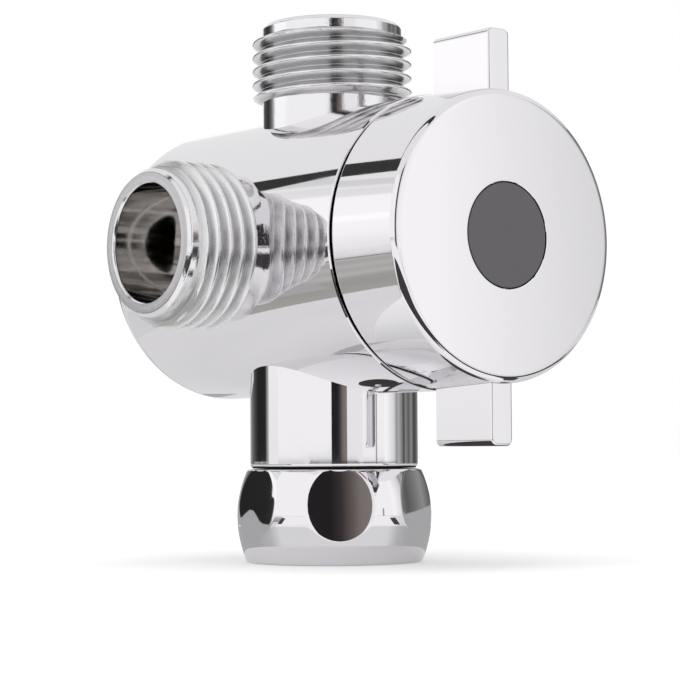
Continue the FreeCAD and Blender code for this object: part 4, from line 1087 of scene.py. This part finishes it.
floor_shape = bmesh.new()
bmesh.ops.create_circle(floor_shape, cap_ends=True, segments=96, radius=3.0)
bmesh.ops.translate(floor_shape, verts=floor_shape.verts[:], vec=(0, 0, -0.00005))
floor = as_object("floor", floor_shape)
pale_floor = bpy.data.materials.new("pale_floor")
pale_floor.use_nodes = True
tree = pale_floor.node_tree
inputs = tree.nodes["Principled BSDF"].inputs
inputs["Base Color"].default_value = (0.66, 0.66, 0.665, 1)
inputs["Roughness"].default_value = 0.9
inputs["Specular IOR Level"].default_value = 0.1
inputs["Emission Color"].default_value = (1, 1, 1, 1)
rays = tree.nodes.new("ShaderNodeLightPath")
place = tree.nodes.new("ShaderNodeTexCoord")
spread = tree.nodes.new("ShaderNodeVectorMath")
spread.operation = "LENGTH"
tree.links.new(place.outputs["Object"], spread.inputs[0])
lift = ranged(tree, spread.outputs["Value"], 0.1, 1.2, 0.36, 0.8)
seen = worked(tree, "MULTIPLY", rays.outputs["Is Camera Ray"], lift)
# What the chrome sees of the floor is a little brighter close by and far away
near_lift = ranged(tree, spread.outputs["Value"], 0.018, 0.05, 0.19, 0.02)
far_lift = ranged(tree, spread.outputs["Value"], 0.25, 0.6, 0.0, 0.2)
glow = worked(tree, "ADD", near_lift, far_lift)
glow = worked(tree, "MULTIPLY", rays.outputs["Is Glossy Ray"], glow)
shader_takes(tree, "Emission Strength", worked(tree, "ADD", seen, glow))
floor.data.materials.append(pale_floor)

world = bpy.data.worlds.new("studio")
bpy.context.scene.world = world
world.use_nodes = True
tree = world.node_tree
room = tree.nodes["Background"]
room.inputs["Color"].default_value = (1, 1, 1, 1)
rays = tree.nodes.new("ShaderNodeLightPath")
direct = worked(tree, "MAXIMUM", rays.outputs["Is Camera Ray"], rays.outputs["Is Glossy Ray"])
direct = worked(tree, "MAXIMUM", direct, rays.outputs["Is Transmission Ray"])
tree.links.new(ranged(tree, direct, 0.0, 1.0, 0.62, 1.0), room.inputs["Strength"])

ceiling_grey = emission("ceiling_grey", 0.86)
black_card = emission("black_card", 0.04)


# The overhead soft box hangs over the object's right, and two dark bars cross under it
def ceiling_card(name, turn, size, height, centre, material):
    """A level card overhead, of half sizes, turned about its middle."""
    shape = bmesh.new()
    bmesh.ops.create_grid(shape, x_segments=1, y_segments=1, size=1.0)
    place = Matrix.Translation((centre[0], centre[1], height))
    moved(shape, place @ Matrix.Rotation(turn, 4, "Z") @ Matrix.Diagonal((*size, 1, 1)))
    studio_card(name, shape, material)


ceiling_card("overhead_soft_box", 0, (0.9, 1.0), 0.54, (0.3, 0.15), ceiling_grey)
for name, height, bar_from, bar_to, half in (
    ("overhead_bar_1", 0.53, Vector((-0.335, 0.38)), Vector((-0.335, 0.955)), 0.066),
    ("overhead_bar_2", 0.528, Vector((-0.325, 0.46)), Vector((0.1, -0.56)), 0.03),
):
    bar_way = bar_to - bar_from
    ceiling_card(
        name, math.atan2(bar_way.y, bar_way.x), (bar_way.length / 2, half), height,
        (bar_from + bar_to) / 2, black_card,
    )

# Cards round the object, by bearing
ROOM_REACH = 0.6
TABLE_EDGE = 0.009
TABLE_TOP = 0.0126

curved_card(
    "camera_card", -158.5, -137.7, 0.0, 0.48, ROOM_REACH,
    ramped("camera_side", [
        (-158.5, (0.24, 0.21, 0.2)), (-153.5, (0.2, 0.175, 0.165)), (-151, (0.12, 0.1, 0.095)),
        (-148, (0.04, 0.034, 0.034)), (-145, (0.018, 0.016, 0.017)),
        (-137.7, (0.018, 0.017, 0.018)),
    ]),
)
curved_card("front_card", -180, -158.5, 0.0, 0.48, ROOM_REACH + 0.01, emission("front_grey", 0.9))
curved_card(
    "right_card", 50, 147, 0.0, 0.32, ROOM_REACH,
    ramped("right_side", [
        (50, 0.36), (63, 0.2), (70, 0.1), (78, 0.06), (84, 0.16), (88, 0.29), (92, 0.2),
        (97, 0.11), (101, 0.2), (105, 0.26), (108, 0.1), (110, 0.08), (113, 0.22), (118, 0.36),
        (121, 0.48), (124.5, 0.32), (127.5, 0.5), (129.5, 0.74), (132, 0.78), (135, 0.85),
        (139, 0.94), (143, 1.03), (147, 1.05),
    ]),
)
curved_card("line_card", 159, 161, 0.0, 0.07, ROOM_REACH, emission("line_grey", 0.34))

# A brighter soft box on the left with slats above it, and dark room behind
curved_card(
    "left_soft_box", -60, -27, 0.0, 0.44, ROOM_REACH - 0.01,
    ramped("left_side", [
        (0.0, 0.9), (0.03, 0.93), (0.09, 1.03), (0.15, 1.06), (0.165, 1.14), (0.185, 1.14),
        (0.2, 1.06), (0.3, 1.05), (0.315, 0.86), (0.35, 0.83), (0.365, 0.92), (0.38, 0.73),
        (0.41, 0.72), (0.425, 0.9), (0.44, 0.86),
    ], along="height"),
)
curved_card(
    "far_back_card", -31, 15, 0.055, 0.24, ROOM_REACH - 0.015,
    ramped("far_back", [(-31, 0.6), (-27, 0.34), (-20, 0.1), (-12, 0.03), (0, 0.06), (15, 0.15)]),
)
low_back = curved_card(
    "low_back_card", -42, 25, TABLE_EDGE, 0.09, 0.3,
    ramped("low_back", [
        (-42, 0.45), (-38.5, 0.28), (-35.5, 0.03), (-32, 0.02), (-16, 0.02), (-7, 0.055),
        (2, 0.12), (13, 0.26), (25, 0.62),
    ]),
)
for vert in low_back.data.vertices:
    if vert.co.z > 0.05 and bearing_of(vert) < -33:
        vert.co.z = 0.047
low_grey = emission("low_grey", 0.42)
curved_card("low_back_edge", -52, 25, 0.0, TABLE_EDGE, 0.0852, low_grey)
curved_card("low_right_edge", 64, 130, 0.0, 0.0112, 0.085, low_grey)
nut_edge = curved_card(
    "low_nut_edge", -180, 180, 0.0, 0.0042, 0.0165,
    ramped("nut_edge", [
        (-180, 0.74), (-99, 0.74), (-88, 0.5), (-70, 0.42), (150, 0.42), (160, 0.44), (168, 0.5),
        (174, 0.64), (178, 0.74), (180, 0.74),
    ]),
)
for vert in nut_edge.data.vertices:
    aside = abs(bearing_of(vert) + 142) / 26
    if vert.co.z > 0.004 and aside < 1:
        vert.co.z -= 0.0015 * math.cos(math.radians(90 * aside)) ** 2
mound = curved_card("low_back_mound", -37, -23, 0.0088, 0.0128, 0.0845, low_grey)
for vert in mound.data.vertices:
    if vert.co.z > 0.01:
        aside = (bearing_of(vert) + 30) / 7
        vert.co.z = 0.0089 + 0.004 * math.cos(math.radians(90 * aside)) ** 2


def table_card(name, first, last, near, far, height, material):
    """A flat card over the floor between two bearings and two distances, facing up."""
    shape = swept(first, last, [(near, height), (far, height)])
    shape.normal_update()
    bmesh.ops.reverse_faces(shape, faces=[face for face in shape.faces if face.normal.z < 0])
    return studio_card(name, shape, material)


# The table's edges are seen only from above, so the nut looks under them at the white table
def upward(name, strength, colour=(1, 1, 1)):
    """A card's material that shines upwards and is clear from below."""
    material = emission(name, strength, colour)
    tree = material.node_tree
    side = tree.nodes.new("ShaderNodeNewGeometry")
    clear = tree.nodes.new("ShaderNodeBsdfTransparent")
    choice = tree.nodes.new("ShaderNodeMixShader")
    light, out = tree.nodes["Emission"], tree.nodes["Material Output"]
    for given, socket in (
        (side.outputs["Backfacing"], choice.inputs["Fac"]), (light.outputs[0], choice.inputs[1]),
        (clear.outputs[0], choice.inputs[2]), (choice.outputs[0], out.inputs["Surface"]),
    ):
        tree.links.new(given, socket)
    return material


table_dark = upward("table_dark", 0.05, (1.0, 0.97, 0.94))
table_card("table_end_back", -46, -8, 0.057, 0.0845, TABLE_TOP, upward("table_pale", 0.7))
table_card("table_end_left", -172, -110, 0.047, 0.124, TABLE_TOP, table_dark)
table_card("table_end_right", -230, -172, 0.056, 0.086, TABLE_TOP, table_dark)
table_spot = table_card("table_end_front", -204, -158, 0.02, 0.034, TABLE_TOP, table_dark)
for vert in table_spot.data.vertices:
    across = (bearing_of(vert) % 360 - 360 + 181) / 23
    way = math.hypot(vert.co.x, vert.co.y) - 0.027
    half = math.copysign(0.0065 * math.sqrt(max(0, 1 - across ** 2)), way)
    drawn(vert, 0.0265 + 0.0011 * across + half)
# Painted shadow: the white table darkens towards the nut, as the valve's shadow on it, in what the
# chrome sees
table_card(
    "white_table", -209, -78, 0.0165, 0.6, 0.0003,
    ramped("table_white_painted_shadow", [
        (0.0165, 0.64), (0.022, 0.72), (0.03, 0.85), (0.05, 0.97), (0.6, 1.0)
    ], along="reach"),
)
peg_dark = emission("peg_dark", 0.06)
table_card("left_peg", -84, -78.5, 0.05, 0.17, 0.0005, peg_dark)
table_card("right_peg", -214, -206, 0.045, 0.15, 0.0005, peg_dark)

# A grey cloth lies on the left, with a dark hem at its far end
table_card(
    "grey_cloth", -80, -39, 0.066, 0.33, 0.0004,
    ramped("cloth_grey", [
        (0.066, (0.4, 0.395, 0.37)), (0.085, (0.36, 0.355, 0.335)), (0.1, (0.38, 0.375, 0.36)),
        (0.115, (0.5, 0.495, 0.47)), (0.135, (0.44, 0.435, 0.415)), (0.16, (0.5, 0.495, 0.48)),
        (0.19, (0.42, 0.415, 0.4)), (0.23, (0.48, 0.475, 0.46)), (0.25, (0.62, 0.62, 0.61)),
        (0.33, (0.84, 0.84, 0.84)),
    ], along="reach"),
)
table_card("cloth_hem", -66, -28, 0.241, 0.256, 0.0006, emission("hem_grey", 0.2))

lamp_data = bpy.data.lights.new("soft_lamp", "AREA")
lamp_data.shape = "RECTANGLE"
lamp_data.size = 1.2
lamp_data.size_y = 1.0
lamp_data.energy = 7.0
lamp = bpy.data.objects.new("soft_lamp", lamp_data)
lamp.location = (-0.2, -0.15, 0.95)
lamp.rotation_euler = (math.radians(-8), math.radians(-10), 0)
lamp.visible_glossy = False
bpy.context.collection.objects.link(lamp)


# Camera
# A long lens a little above the floor, left of the knob's face and looking slightly up.
SWING = math.radians(39.03)
DISTANCE = 0.2889
LEVEL = 0.01451
YAW = math.radians(0.17)
PITCH_UP = math.radians(2.87)
ROLL = math.radians(-0.33)
LENS = 116.47

camera_data = bpy.data.cameras.new("camera")
camera_data.lens = LENS
camera_data.sensor_width = 36.0
camera_data.clip_start = 0.01
camera_data.clip_end = 20.0
camera = bpy.data.objects.new("camera", camera_data)
bpy.context.collection.objects.link(camera)
aim = SWING + YAW
ahead = Vector((
    math.sin(aim) * math.cos(PITCH_UP), math.cos(aim) * math.cos(PITCH_UP), math.sin(PITCH_UP)
))
level_right = ahead.cross(Vector((0, 0, 1))).normalized()
level_up = level_right.cross(ahead)
right = level_right * math.cos(ROLL) + level_up * math.sin(ROLL)
up = level_up * math.cos(ROLL) - level_right * math.sin(ROLL)
spot = Vector((-math.sin(SWING) * DISTANCE, -math.cos(SWING) * DISTANCE, LEVEL))
camera.matrix_world = Matrix((
    (right.x, up.x, -ahead.x, spot.x),
    (right.y, up.y, -ahead.y, spot.y),
    (right.z, up.z, -ahead.z, spot.z),
    (0, 0, 0, 1),
))
bpy.context.scene.camera = camera
bpy.context.scene.view_settings.view_transform = "Standard"
